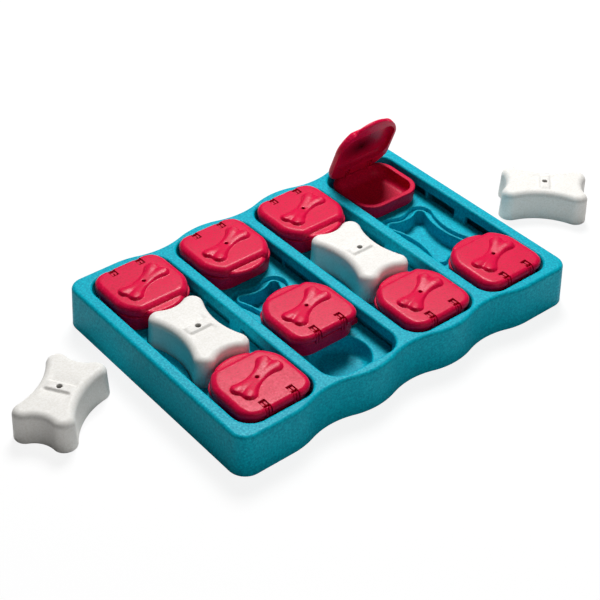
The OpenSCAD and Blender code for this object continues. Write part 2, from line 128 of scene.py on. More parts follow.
class Graph:
    """A node tree, of a material or of Geometry Nodes, that is built from expressions."""

    def __init__(self, tree: bpy.types.NodeTree) -> None:
        """Wraps a tree.

        Args:
            tree: The node tree to add to.
        """
        self.tree = tree

    @classmethod
    def fresh(cls, owner: bpy.types.Material | bpy.types.World) -> "Graph":
        """Empties the tree of a material or of a world.

        Args:
            owner: The material or the world.

        Returns:
            Its tree.
        """
        owner.use_nodes = True
        owner.node_tree.nodes.clear()
        return cls(owner.node_tree)

    def node(
        self,
        kind: str,
        settings: Mapping[str, object] | None = None,
        sockets: Mapping[str | int, object] | None = None,
    ) -> bpy.types.Node:
        """Adds one node.

        Args:
            kind: The node's type.
            settings: Its properties, set first.
            sockets: What its inputs get, by name or index: numbers, values or output sockets.

        Returns:
            The new node.
        """
        node = self.tree.nodes.new(kind)
        for name, setting in (settings or {}).items():
            setattr(node, name, setting)
        for key, given in (sockets or {}).items():
            given = given.socket if isinstance(given, Value) else given
            if isinstance(given, bpy.types.NodeSocket):
                self.tree.links.new(given, node.inputs[key])
            else:
                node.inputs[key].default_value = given
        return node

    def value(
        self,
        kind: str,
        settings: Mapping[str, object] | None = None,
        sockets: Mapping[str | int, object] | None = None,
        output: str | int = 0,
    ) -> Value:
        """Adds one node and wraps one of its outputs.

        Args:
            kind: The node's type.
            settings: Its properties.
            sockets: What its inputs get.
            output: The output's name or index.

        Returns:
            The output as a value.
        """
        return Value(self, self.node(kind, settings, sockets).outputs[output])

    def math(self, operation: str, a: "Value | float", b: "Value | float" = 0.0) -> Value:
        """A Math node.

        Args:
            operation: The node's operation.
            a: The first input.
            b: The second input, where the operation has one.

        Returns:
            The result.
        """
        return self.value("ShaderNodeMath", {"operation": operation}, {0: a, 1: b})

    def vector(self, operation: str, a: object, b: object, scale: object = 1.0) -> Value:
        """A Vector Math node.

        Args:
            operation: The node's operation.
            a: The first vector.
            b: The second vector, not used by SCALE.
            scale: The factor of SCALE.

        Returns:
            The resulting vector.
        """
        sockets = {0: a, "Scale": scale} if operation == "SCALE" else {0: a, 1: b}
        return self.value("ShaderNodeVectorMath", {"operation": operation}, sockets)

    def tint(self, share: object, a: object, b: object) -> Value:
        """Mixes two colours.

        Args:
            share: How much of the second colour.
            a: The first colour.
            b: The second colour.

        Returns:
            The mixed colour.
        """
        return self.value(
            "ShaderNodeMix", {"data_type": "RGBA"}, {0: share, 6: a, 7: b}, output=2
        )

    def noise(self, at: object, size_mm: float, detail: float = 2.0) -> Value:
        """Noise over the surface, from 0 to 1.

        Args:
            at: The place, in millimetres.
            size_mm: The size of its blotches in millimetres.
            detail: How many finer layers it has.

        Returns:
            The noise.
        """
        return self.value(
            "ShaderNodeTexNoise",
            None,
            {"Vector": at, "Scale": 1 / size_mm, "Detail": detail, "Roughness": 0.55},
        )

    def ranged(self, value: Value, low: float, high: float, rising: bool = True) -> Value:
        """Turns a range of values into 0 to 1.

        Args:
            value: The value.
            low: Where the range starts.
            high: Where it ends.
            rising: Whether the result climbs with the value.

        Returns:
            The result, never outside 0 to 1.
        """
        start, end = (0.0, 1.0) if rising else (1.0, 0.0)
        return self.value("ShaderNodeMapRange", None, {0: value, 1: low, 2: high, 3: start, 4: end})

    def seen(self) -> Value:
        """1 for the camera's own rays and 0 for all others."""
        return self.value("ShaderNodeLightPath", output="Is Camera Ray")


# ---- finishes ----


def linear(*rgb: float) -> Colour:
    """Turns a display colour of 0 to 255 into the linear one that nodes take.

    Args:
        *rgb: Red, green and blue from 0 to 255.

    Returns:
        The linear colour with an alpha of 1.
    """
    shares = [c / 255 for c in rgb]
    return (*(s / 12.92 if s <= 0.04045 else ((s + 0.055) / 1.055) ** 2.4 for s in shares), 1.0)


def grey(share: float) -> Colour:
    """A linear grey."""
    return (share, share, share, 1.0)


@dataclass(frozen=True)
class MouldedPlastic:
    """Spark-grained injection moulding: a fine pitted grain over a soft satin body.

    Args:
        name: The material's name.
        body: The plastic's colour, 0 to 255.
        deep: The colour in the pits of the grain and in slow clouds over a part, 0 to 255.
        painted_glint_colour: The painted glint on the grain's peaks, a lighter colour that stands
            in for light caught there, 0 to 255.
        roughness: Roughness of the body.
        grain_mm: Size of the grain.
        pit: Depth of the grain in millimetres.
        shine: Strength of the surface's own reflection.
        fine: Size of the finer grain, as a share of the grain's.
        coarse: Share of the grain in the relief. The finer grain has the rest.
        cloud_mm: Size of the slow clouds.
        flow_mm: Size of the flow marks, across them.
        flow_pull: How far the flow marks are squeezed along Y.
        pit_range: The relief at which a pit is deepest and at which it ends.
        peak_range: The relief at which a peak starts and at which it is rubbed bright.
        shades: Weights of the pits, the clouds and the flow marks in the deep colour.
        painted_glint: Weight of the painted glint on the grain's peaks.
        hole_shade_weight: Weight of the painted shade inside a hole.
        hole_shade_dark: How bright that painted shade is, as a share of the deep colour.
        rough_spread: How far clouds, pits and peaks change the roughness.
        bump: Strength of the relief.
        ior: Index of refraction.
    """

    name: str
    body: tuple[float, float, float]
    deep: tuple[float, float, float]
    painted_glint_colour: tuple[float, float, float]
    roughness: float = 0.34
    grain_mm: float = 1.8
    pit: float = 0.08
    shine: float = 0.13
    fine: float = 0.42
    coarse: float = 0.65
    cloud_mm: float = 26.0
    flow_mm: float = 9.0
    flow_pull: float = 0.35
    pit_range: tuple[float, float] = (0.36, 0.58)
    peak_range: tuple[float, float] = (0.56, 0.72)
    shades: tuple[float, float, float] = (0.7, 0.14, 0.08)
    painted_glint: float = 0.45
    hole_shade_weight: float = 0.93
    hole_shade_dark: float = 0.16
    rough_spread: tuple[float, float, float] = (0.10, 0.10, 0.08)
    bump: float = 0.8
    ior: float = 1.47

    def material(self) -> bpy.types.Material:
        """Builds the material, or gives back the one already built.

        Returns:
            The material.
        """
        label = f"{self.name}_grained"
        made = bpy.data.materials.get(label)
        if made:
            return made
        made = bpy.data.materials.new(label)
        g = Graph.fresh(made)
        place = g.value("ShaderNodeTexCoord", output="Object")
        at = g.vector("SCALE", place, None, 1 / MM)
        grain = g.noise(at, self.grain_mm, 1.5)
        fine = g.noise(at, self.grain_mm * self.fine, 1.0)
        clouds = g.noise(at, self.cloud_mm, 3.0)
        flow = g.noise(g.vector("MULTIPLY", at, (1.0, self.flow_pull, 1.0)), self.flow_mm, 2.0)
        relief = grain * self.coarse + fine * (1 - self.coarse)
        pits = g.ranged(relief, *self.pit_range, rising=False)
        peaks = g.ranged(relief, *self.peak_range)
        in_pits, in_clouds, in_flow = self.shades
        deep = pits * in_pits + clouds * in_clouds + flow * in_flow
        shade = g.tint(deep, linear(*self.body), linear(*self.deep))
        # painted glint: the grain's peaks are painted lighter, where light would catch them
        painted_glint = g.tint(peaks * self.painted_glint, shade, linear(*self.painted_glint_colour))
        # painted shade: the inside of a hole is painted dark, where shade falls in it
        bore = g.value("ShaderNodeAttribute", {"attribute_name": "bore"}, output="Fac")
        dark = linear(*[c * self.hole_shade_dark for c in self.deep])
        colour = g.tint(bore * self.hole_shade_weight, painted_glint, dark)
        by_clouds, by_pits, by_peaks = self.rough_spread
        rough = (clouds - 0.5) * by_clouds + pits * by_pits - peaks * by_peaks + self.roughness
        depth = {"Strength": self.bump, "Distance": self.pit * MM, "Height": relief}
        surface = g.node(
            "ShaderNodeBsdfPrincipled",
            None,
            {
                "Base Color": colour,
                "Roughness": rough,
                "IOR": self.ior,
                "Specular IOR Level": self.shine,
                "Normal": g.value("ShaderNodeBump", None, depth),
            },
        )
        g.node("ShaderNodeOutputMaterial", None, {"Surface": surface.outputs[0]})
        return made


TRAY_TEAL = MouldedPlastic(
    "tray_teal", (6, 190, 210), (0, 140, 170), (40, 212, 226), 0.36, 1.7, 0.1, 0.08
)
BOX_RED = MouldedPlastic("box_red", (224, 14, 68), (180, 4, 50), (244, 56, 102), 0.34, 1.5, 0.08)
LID_RED = MouldedPlastic("lid_red", (234, 18, 74), (200, 6, 56), (246, 72, 118), 0.27, 1.5, 0.11)
BONE_WHITE = MouldedPlastic(
    "bone_white", (248, 246, 242), (234, 231, 224), (252, 251, 249), 0.4, 1.5, 0.05, 0.16
)


# ---- plans ----


@dataclass(frozen=True)
class Arc:
    """One arc of a plan.

    Args:
        x: Its centre, across.
        y: Its centre, along.
        radius: Its radius.
        start: Its first angle in degrees.
        end: Its last angle. Past start the arc bulges outwards, before it the arc is hollow.
    """

    x: float
    y: float
    radius: float
    start: float
    end: float

    def mirrored(self) -> "Arc":
        """The arc on the other side of x = 0, drawn in the other direction."""
        return Arc(-self.x, self.y, self.radius, 180 - self.end, 180 - self.start)

    def turned(self) -> "Arc":
        """The arc turned half round the origin."""
        return Arc(-self.x, -self.y, self.radius, self.start + 180, self.end + 180)


@dataclass
class Plan:
    """A closed plan, anticlockwise: its points and the outward direction at each.

    Args:
        points: The points, one row each.
        outward: The unit outward directions, one row each.
    """

    points: np.ndarray
    outward: np.ndarray

    @classmethod
    def of_arcs(cls, arcs: Sequence[Arc], step: float = 1.3) -> "Plan":
        """Strings arcs together, with straight stretches where they don't meet.

        Args:
            arcs: The arcs in order, anticlockwise round the plan.
            step: The length of a chord.

        Returns:
            The plan.
        """
        points, outward = [], []
        for arc in arcs:
            sweep = math.radians(arc.end - arc.start)
            chord = min(step / arc.radius, WIDEST)
            count = max(2, math.ceil(abs(sweep) / chord))
            side = 1.0 if sweep > 0 else -1.0
            for k in range(count + 1):
                angle = math.radians(arc.start) + sweep * k / count
                ray = np.array([math.cos(angle), math.sin(angle)])
                point = np.array([arc.x, arc.y]) + arc.radius * ray
                if not points or np.linalg.norm(point - points[-1]) > SAME:
                    points.append(point)
                    outward.append(side * ray)
        if np.linalg.norm(points[0] - points[-1]) < SAME:
            points.pop()
            outward.pop()
        return cls(np.array(points), np.array(outward))

    @classmethod
    def rounded(cls, half_x: float, half_y: float, r: float, mid_y: float = 0.0) -> "Plan":
        """A rectangle with rounded corners.

        Args:
            half_x: Half its width.
            half_y: Half its length.
            r: Its corner radius.
            mid_y: The middle of its length.

        Returns:
            The plan.
        """
        cx, cy = half_x - r, half_y - r
        low, high = mid_y - cy, mid_y + cy
        corners = [(cx, low, -90), (cx, high, 0), (-cx, high, 90), (-cx, low, 180)]
        return cls.of_arcs([Arc(x, y, r, a, a + 90) for x, y, a in corners])

    @classmethod
    def circle(cls, r: float, y: float = 0.0, step: float = 1.3) -> "Plan":
        """A circle round (0, y).

        Args:
            r: Its radius.
            y: Its centre along Y.
            step: The length of a chord.

        Returns:
            The plan.
        """
        return cls.of_arcs([Arc(0.0, y, r, 0, 360)], step)

    @classmethod
    def bone(
        cls,
        a: float,
        b: float,
        r: float,
        waist_a: float,
        waist_b: float,
        turn: float = 0.0,
        step: float = 1.1,
    ) -> "Plan":
        """A bone: four lobes joined by hollow arcs.

        Args:
            a: Half the spacing of the lobes' centres, across.
            b: Half the spacing of the lobes' centres, along.
            r: The radius of a lobe.
            waist_a: Half the width at the waist, across.
            waist_b: Half the length between the two ends' hollows, along.
            turn: How far the bone is turned, in degrees.
            step: The length of a chord.

        Returns:
            The plan.
        """
        ra = ((waist_a - a) ** 2 + b * b - r * r) / (2 * (r - (waist_a - a)))
        rb = ((waist_b - b) ** 2 + a * a - r * r) / (2 * (r - (waist_b - b)))
        side = math.degrees(math.atan2(b, waist_a + ra - a))
        end = math.degrees(math.atan2(a, waist_b + rb - b))
        half = [
            Arc(a, b, r, -side, 90 + end),
            Arc(0.0, waist_b + rb, rb, -90 + end, -90 - end),
            Arc(-a, b, r, 90 - end, 180 + side),
            Arc(-waist_a - ra, 0.0, ra, side, -side),
        ]
        plan = cls.of_arcs(half + [arc.turned() for arc in half], step)
        spin = np.array(Matrix.Rotation(math.radians(turn), 2))
        return cls(plan.points @ spin.T, plan.outward @ spin.T)

    def at(self, offset: float | np.ndarray) -> np.ndarray:
        """The plan's points moved outwards.

        Args:
            offset: How far, for the whole plan or for each point.

        Returns:
            The moved points.
        """
        return self.points + self.outward * np.reshape(offset, (-1, 1))

    def divided(self, gap: float) -> "Plan":
        """Adds points on the plan's long straight stretches.

        Args:
            gap: The longest distance between two points.

        Returns:
            The divided plan.
        """
        points, outward = [], []
        ahead = np.roll(self.points, -1, axis=0)
        for point, after, ray in zip(self.points, ahead, self.outward):
            count = max(1, math.ceil(np.linalg.norm(after - point) / gap))
            points += [point + (after - point) * part / count for part in range(count)]
            outward += [ray] * count
        return Plan(np.array(points), np.array(outward))


def bend(x: float, z: float, r: float, start: float, end: float, count: int = 6) -> Rungs:
    """The points of a rounding in a section.

    Args:
        x: Its centre's offset.
        z: Its centre's height.
        r: Its radius.
        start: Its first angle in degrees, 0 outwards and 90 up.
        end: Its last angle.
        count: The number of chords.

    Returns:
        The points from start to end.
    """
    angles = [math.radians(start + (end - start) * k / count) for k in range(count + 1)]
    return [(x + r * math.cos(t), z + r * math.sin(t)) for t in angles]


def raised(section: Section, z: float) -> Rungs:
    """A section moved up by z."""
    return [(offset, z + height) for offset, height in section]


def level(points: np.ndarray, height: float | np.ndarray) -> np.ndarray:
    """Points of a plan with their heights, or with the same height for all."""
    return np.column_stack([points, np.broadcast_to(height, len(points))])


def lattice(across: int, along: int, step_x: float, step_y: float) -> np.ndarray:
    """A grid of points round the origin.

    Args:
        across: How many stand on each side of the middle, across.
        along: How many stand on each side of the middle, along.
        step_x: Their distance across.
        step_y: Their distance along.

    Returns:
        The points, one row each.
    """
    columns, lines = np.arange(-across, across + 1), np.arange(-along, along + 1)
    x, y = np.meshgrid(columns * step_x, lines * step_y)
    return np.column_stack([x.ravel(), y.ravel()])


# ---- Geometry Nodes ----


class NodeTree:
    """A Geometry Nodes tree with named inputs, run on one mesh at a time."""

    def __init__(self, name: str, inputs: Mapping[str, str]) -> None:
        """Starts the tree with its inputs and its output.

        Args:
            name: The tree's name.
            inputs: The socket type of each named input.
        """
        self.tree = bpy.data.node_groups.new(name, "GeometryNodeTree")
        self.keys: dict[str, str] = {}
        for label, kind in {"Geometry": "NodeSocketGeometry", **inputs}.items():
            item = self.tree.interface.new_socket(name=label, in_out="INPUT", socket_type=kind)
            self.keys[label] = item.identifier
        self.tree.interface.new_socket(
            name="Geometry", in_out="OUTPUT", socket_type="NodeSocketGeometry"
        )
        self.graph = Graph(self.tree)
        self.given = self.graph.node("NodeGroupInput")

    def close(self, geometry: object) -> None:
        """Ends the tree: real geometry in place of instances, then the finish.

        Args:
            geometry: The output that holds the geometry.
        """
        real = self.graph.value("GeometryNodeRealizeInstances", None, {"Geometry": geometry})
        done = self.graph.value(
            "GeometryNodeSetMaterial",
            None,
            {"Geometry": real, "Material": self.given.outputs["Finish"]},
        )
        self.graph.node("NodeGroupOutput", None, {"Geometry": done})

    def run(self, piece: bpy.types.Object, **inputs: object) -> bpy.types.Mesh:
        """Runs the tree on an object.

        Args:
            piece: The object whose mesh goes in. It is removed afterwards.
            **inputs: The value of each named input.

        Returns:
            The plain mesh that comes out.
        """
        modifier = piece.modifiers.new(self.tree.name, "NODES")
        modifier.node_group = self.tree
        for label, given in inputs.items():
            modifier[self.keys[label.replace("_", " ").capitalize()]] = given
        mesh = evaluated(piece)
        bpy.data.objects.remove(piece)
        return mesh


def evaluated(piece: bpy.types.Object) -> bpy.types.Mesh:
    """The mesh of an object with its modifiers applied.

    Args:
        piece: The object, in the scene.

    Returns:
        A new plain mesh.
    """
    depsgraph = bpy.context.evaluated_depsgraph_get()
    return bpy.data.meshes.new_from_object(piece.evaluated_get(depsgraph), depsgraph=depsgraph)


def row_tree() -> NodeTree:
    """Builds the tree that repeats a piece in a row.

    Returns:
        The tree, with the inputs Count, Start, Step and Finish.
    """
    rows = NodeTree(
        "Row of equal pieces",
        {
            "Count": "NodeSocketInt",
            "Start": "NodeSocketVector",
            "Step": "NodeSocketVector",
            "Finish": "NodeSocketMaterial",
        },
    )
    g, given = rows.graph, rows.given.outputs
    line = g.value(
        "GeometryNodeMeshLine",
        {"mode": "OFFSET"},
        {"Count": given["Count"], "Start Location": given["Start"], "Offset": given["Step"]},
    )
    row = g.value(
        "GeometryNodeInstanceOnPoints", None, {"Points": line, "Instance": given["Geometry"]}
    )
    rows.close(row)
    return rows


def wall_tree() -> NodeTree:
    """Builds the tree that draws a wall: a section carried round a closed plan.

    The plan is a mesh of loose points with an "outward" vector on each. The section is another,
    with a point's offset from the plan as its X and its height as its Z.

    Returns:
        The tree, with the inputs Section and Finish.
    """
    walls = NodeTree(
        "Wall round a plan", {"Section": "NodeSocketObject", "Finish": "NodeSocketMaterial"}
    )
    g, given = walls.graph, walls.given.outputs
    section = g.value(
        "GeometryNodeObjectInfo", None, {"Object": given["Section"]}, output="Geometry"
    )
    around = g.value(
        "GeometryNodeAttributeDomainSize", None, {"Geometry": given["Geometry"]}, "Point Count"
    )
    across = g.value(
        "GeometryNodeAttributeDomainSize", None, {"Geometry": section}, "Point Count"
    )
    sheet = g.value(
        "GeometryNodeMeshGrid", None, {"Vertices X": around + 1, "Vertices Y": across}
    )
    index = g.value("GeometryNodeInputIndex")
    step = g.math("FLOOR", (index + 0.25) / across) % around
    rung = (index + 0.25) % across

    def sample(geometry: object, what: object, number: Value) -> Value:
        """Reads a vector at one point of a mesh.

        Args:
            geometry: The mesh.
            what: The field that is read.
            number: The point's number.

        Returns:
            The vector.
        """
        return g.value(
            "GeometryNodeSampleIndex",
            {"data_type": "FLOAT_VECTOR"},
            {"Geometry": geometry, "Value": what, "Index": g.math("FLOOR", number)},
        )

    outward = g.value(
        "GeometryNodeInputNamedAttribute", {"data_type": "FLOAT_VECTOR"}, {"Name": "outward"}
    )
    position = g.value("GeometryNodeInputPosition")
    profile = g.node(
        "ShaderNodeSeparateXYZ", None, {0: sample(section, position, rung)}
    ).outputs
    side = g.vector("SCALE", sample(given["Geometry"], outward, step), None, profile["X"])
    height = g.value("ShaderNodeCombineXYZ", None, {"Z": profile["Z"]})
    foot = g.vector("ADD", sample(given["Geometry"], position, step), side)
    place = g.vector("ADD", foot, height)
    placed = g.value("GeometryNodeSetPosition", None, {"Geometry": sheet, "Position": place})
    walls.close(placed)
    return walls


ROWS = row_tree()
WALLS = wall_tree()


# ---- surfaces ----


def loose_points(
    name: str, places: np.ndarray, outward: np.ndarray | None = None
) -> bpy.types.Object:
    """A helper object of loose points in the scene.

    Args:
        name: Its name.
        places: The points.
        outward: A vector to store on each point.

    Returns:
        The object.
    """
    mesh = bpy.data.meshes.new(name)
    mesh.from_pydata(places.tolist(), [], [])
    if outward is not None:
        stored = mesh.attributes.new("outward", "FLOAT_VECTOR", "POINT")
        stored.data.foreach_set("vector", outward.ravel().astype(np.float32))
    return in_scene(name, mesh)


def in_scene(name: str, mesh: bpy.types.Mesh) -> bpy.types.Object:
    """Puts a mesh in the scene.

    Args:
        name: The object's name.
        mesh: Its mesh.

    Returns:
        The object, at the origin.
    """
    piece = bpy.data.objects.new(name, mesh)
    bpy.context.scene.collection.objects.link(piece)
    return piece


def places_of(mesh: bpy.types.Mesh) -> np.ndarray:
    """The places of a mesh's points.

    Args:
        mesh: The mesh.

    Returns:
        The places, one row each.
    """
    places = np.zeros(len(mesh.vertices) * 3, np.float32)
    mesh.vertices.foreach_get("co", places)
    return places.reshape(-1, 3)


def smooth(share: np.ndarray) -> np.ndarray:
    """A soft step: 0 below 0, 1 above 1 and level at both ends."""
    share = np.clip(share, 0, 1)
    return share * share * (3 - 2 * share)


def inside(points: np.ndarray, loop: np.ndarray) -> np.ndarray:
    """Tells which points lie inside a loop.

    Args:
        points: The points, one row each.
        loop: The closed loop.

    Returns:
        True for each point that lies inside.
    """
    ahead = np.roll(loop, -1, axis=0)
    result = np.zeros(len(points), bool)
    for (x0, y0), (x1, y1) in zip(loop, ahead):
        if y0 == y1:
            continue
        beside = (y0 > points[:, 1]) != (y1 > points[:, 1])
        cross = x0 + (points[:, 1] - y0) * (x1 - x0) / (y1 - y0)
        result ^= beside & (points[:, 0] < cross)
    return result


def between(points: np.ndarray, loops: Sequence[np.ndarray]) -> np.ndarray:
    """Tells which points lie inside the first loop and outside the others.

    Args:
        points: The points, one row each.
        loops: The closed loops.

    Returns:
        True for each point that does.
    """
    result = inside(points, loops[0])
    for hole in loops[1:]:
        result &= ~inside(points, hole)
    return result


def clear_of_hole(
    spots: np.ndarray, loop: np.ndarray, r: float, margin: float = 0.9
) -> np.ndarray:
    """Keeps the points inside a loop that stand clear of a round hole at the origin.

    Args:
        spots: The points, one row each.
        loop: The closed loop.
        r: The hole's radius.
        margin: How far from the hole they stand at least.

    Returns:
        The points that are kept.
    """
    return spots[inside(spots, loop) & (np.hypot(spots[:, 0], spots[:, 1]) > r + margin)]


class Surface:
    """A mesh in the making, in millimetres: walls, flats and caps that meet edge to edge."""

    def __init__(self) -> None:
        """Starts empty."""
        self.points: list[np.ndarray] = []
        self.faces: list[tuple[int, ...]] = []
        self.count = 0

    def add(self, points: np.ndarray, faces: Sequence[Sequence[int]]) -> None:
        """Adds points and the faces between them.

        Args:
            points: The points, one row each.
            faces: The faces, as numbers into points.
        """
        self.points.append(np.asarray(points, float))
        self.faces += [tuple(i + self.count for i in face) for face in faces]
        self.count += len(points)

    def take(self, mesh: bpy.types.Mesh, scale: float = 1.0) -> None:
        """Adds a whole mesh.

        Args:
            mesh: The mesh.
            scale: What its coordinates are multiplied by.
        """
        self.add(places_of(mesh) * scale, [tuple(p.vertices) for p in mesh.polygons])

    def wall(self, plan: Plan, section: Section) -> None:
        """Carries a section round a plan, from its first point to its last.

        The faces look outwards where the section climbs and up where it runs inwards.

        Args:
            plan: The plan.
            section: The offsets from the plan and the heights.
        """
        start = loose_points("plan", level(plan.points, 0.0), level(plan.outward, 0.0))
        rungs = loose_points("section", np.array([(o, 0.0, z) for o, z in section]))
        self.take(WALLS.run(start, Section=rungs))
        bpy.data.objects.remove(rungs)

    def skin(self, rungs: Sequence[np.ndarray]) -> None:
        """Joins rings of points that were worked out one by one.

        Args:
            rungs: The rings, with equal numbers of points.
        """
        n = len(rungs[0])
        faces = []
        for k in range(len(rungs) - 1):
            for i in range(n):
                j = (i + 1) % n
                faces.append((k * n + i, k * n + j, (k + 1) * n + j, (k + 1) * n + i))
        self.add(np.concatenate(rungs), faces)

    def flat(
        self,
        loops: Sequence[np.ndarray],
        height: float | Callable[[np.ndarray], np.ndarray],
        up: bool = True,
        extra: np.ndarray | None = None,
    ) -> None:
        """Fills the space inside the first loop and outside the others.

        Args:
            loops: The loops in plan.
            height: The height, or a function that gives it from the plan's points.
            up: Whether the faces look up.
            extra: Further points inside the first loop.
        """
        spots = np.concatenate([loop[:, :2] for loop in loops])
        edges, first = [], 0
        for loop in loops:
            n = len(loop)
            edges += [(first + i, first + (i + 1) % n) for i in range(n)]
            first += n
        if extra is not None:
            spots = np.concatenate([spots, extra[between(extra, loops)]])
        result = delaunay_2d_cdt([Vector(p) for p in spots], edges, [], 0, FINEST)
        found = np.array([tuple(v) for v in result[0]])
        triangles = np.array([tuple(face) for face in result[2]])
        kept = between(found[triangles].mean(axis=1), loops)
        a, b, c = (found[triangles[:, k]] for k in range(3))
        turn = (b - a)[:, 0] * (c - a)[:, 1] - (b - a)[:, 1] * (c - a)[:, 0]
        faces = [
            tuple(t) if (s > 0) == up else tuple(reversed(t))
            for t, s, keep in zip(triangles.tolist(), turn, kept)
            if keep
        ]
        self.add(level(found, height(found) if callable(height) else height), faces)

    def prism(self, outline: Sequence[tuple[float, float]], x0: float, x1: float) -> None:
        """Adds a closed prism along X.

        Args:
            outline: Its outline in Y and Z, anticlockwise seen from +X.
            x0: Its lower end.
            x1: Its upper end.
        """
        n = len(outline)
        low = [(x0, y, z) for y, z in outline]
        high = [(x1, y, z) for y, z in outline]
        sides = [(i, (i + 1) % n, n + (i + 1) % n, n + i) for i in range(n)]
        caps = [tuple(reversed(range(n))), tuple(range(n, 2 * n))]
        self.add(np.array(low + high), sides + caps)

    def block(self, low: Sequence[float], high: Sequence[float]) -> None:
        """Adds a closed box between two corners.

        Args:
            low: Its lowest corner.
            high: Its highest corner.
        """
        (x0, y0, z0), (x1, y1, z1) = low, high
        self.prism([(y0, z0), (y1, z0), (y1, z1), (y0, z1)], x0, x1)

    def mesh(self, name: str) -> bpy.types.Mesh:
        """Welds the parts and turns millimetres into metres.

        Args:
            name: The mesh's name.

        Returns:
            The mesh, closed where its parts meet.
        """
        data = bpy.data.meshes.new(name)
        data.from_pydata((np.concatenate(self.points) * MM).tolist(), [], self.faces)
        work = bmesh.new()
        work.from_mesh(data)
        bmesh.ops.remove_doubles(work, verts=work.verts, dist=WELD)
        bmesh.ops.dissolve_degenerate(work, edges=work.edges, dist=WELD / 2)
        loose = [v for v in work.verts if not v.link_faces]
        bmesh.ops.delete(work, geom=loose, context="VERTS")
        work.to_mesh(data)
        work.free()
        return data


def row(
    name: str,
    mesh: bpy.types.Mesh,
    count: int,
    start: Sequence[float],
    step: Sequence[float],
) -> bpy.types.Mesh:
    """Repeats a mesh in a straight row.

    Args:
        name: The row's name.
        mesh: The piece that is repeated, in metres.
        count: How many there are.
        start: The first one's place in millimetres.
        step: The way from one to the next in millimetres.

    Returns:
        The row as one plain mesh.
    """
    piece = in_scene(name, mesh)
    return ROWS.run(
        piece, count=count, start=[c * MM for c in start], step=[c * MM for c in step]
    )


def paired(name: str, mesh: bpy.types.Mesh, x: float) -> bpy.types.Mesh:
    """Repeats a mesh on both sides of x = 0.

    Args:
        name: The pair's name.
        mesh: The piece that is repeated, in metres.
        x: How far from x = 0 they stand, in millimetres.

    Returns:
        The pair as one plain mesh.
    """
    return row(name, mesh, 2, (-x, 0, 0), (2 * x, 0, 0))


def joined(name: str, meshes: Sequence[bpy.types.Mesh]) -> bpy.types.Mesh:
    """Puts several meshes in one.

    Args:
        name: The new mesh's name.
        meshes: The meshes.

    Returns:
        The mesh.
    """
    whole = Surface()
    for mesh in meshes:
        whole.take(mesh, 1 / MM)
    return whole.mesh(name)


def cut_from(mesh: bpy.types.Mesh, tool: bpy.types.Mesh) -> bpy.types.Mesh:
    """Cuts a closed mesh away from another.

    Args:
        mesh: The mesh that is changed.
        tool: The mesh that is cut away.

    Returns:
        The new mesh.
    """
    piece, cutter = in_scene("piece", mesh), in_scene("tool", tool)
    cut = piece.modifiers.new("cut", "BOOLEAN")
    cut.operation, cut.solver, cut.object = "DIFFERENCE", "EXACT", cutter
    result = evaluated(piece)
    for used in (piece, cutter):
        bpy.data.objects.remove(used)
    return result


def softened(mesh: bpy.types.Mesh, width: float, steps: int = 2) -> bpy.types.Mesh:
    """Rounds the sharp edges of a mesh.

    Args:
        mesh: The mesh.
        width: The width of the rounding in millimetres.
        steps: How many faces it has across.

    Returns:
        The new mesh.
    """
    piece = in_scene("piece", mesh)
    bevel = piece.modifiers.new("edges", "BEVEL")
    bevel.width, bevel.segments, bevel.limit_method = width * MM, steps, "ANGLE"
    bevel.angle_limit = ROUND_FROM
    result = evaluated(piece)
    bpy.data.objects.remove(piece)
    return result


def paint_hole_shade(mesh: bpy.types.Mesh, r: float, margin: float = 0.05, rim: float = 0.3) -> None:
    """Marks the inside of a mesh's hole on its Z axis for the finish, which paints shade into it.

    Args:
        mesh: The mesh, in metres.
        r: The hole's radius in millimetres.
        margin: How far beyond the radius a point may lie.
        rim: How far below the hole's rim the dark starts.
    """
    spots = places_of(mesh) / MM
    # points inside the hole, below its rim, get painted shade
    deep = np.hypot(spots[:, 0], spots[:, 1]) < r + margin
    deep &= spots[:, 2] < spots[deep, 2].max() - rim
    stored = mesh.attributes.new("bore", "FLOAT", "POINT")
    stored.data.foreach_set("value", deep.astype(np.float32))


def finished(
    name: str,
    mesh: bpy.types.Mesh,
    body: str,
    finish: MouldedPlastic,
    nodes: Sequence[str] = (),
    place: Matrix | None = None,
    bore: float = 0.0,
) -> bpy.types.Object:
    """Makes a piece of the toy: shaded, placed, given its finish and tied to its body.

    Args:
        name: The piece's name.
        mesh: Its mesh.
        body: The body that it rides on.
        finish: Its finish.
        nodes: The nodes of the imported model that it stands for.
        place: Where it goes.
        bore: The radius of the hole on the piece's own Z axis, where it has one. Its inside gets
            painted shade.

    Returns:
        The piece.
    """
    mesh = mesh.copy()
    mesh.name = name
    # painted shade inside the hole
    if bore:
        paint_hole_shade(mesh, bore)
    if place is not None:
        mesh.transform(place)
    mesh.materials.clear()
    mesh.materials.append(finish.material())
    mesh.polygons.foreach_set("material_index", [0] * len(mesh.polygons))
    mesh.shade_smooth()
    mesh.set_sharp_from_angle(angle=SHARP_FROM)
    piece = in_scene(name, mesh)
    weigh = piece.modifiers.new("normals", "WEIGHTED_NORMAL")
    weigh.keep_sharp, weigh.weight = True, FACE_WEIGHT
    fixed = evaluated(piece)
    piece.modifiers.clear()
    piece.data = fixed
    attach(piece, body)
    if nodes:
        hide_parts(*nodes)
    log.info("%s: %d faces on %s", name, len(fixed.polygons), body)
    return piece


# ---- the tray ----


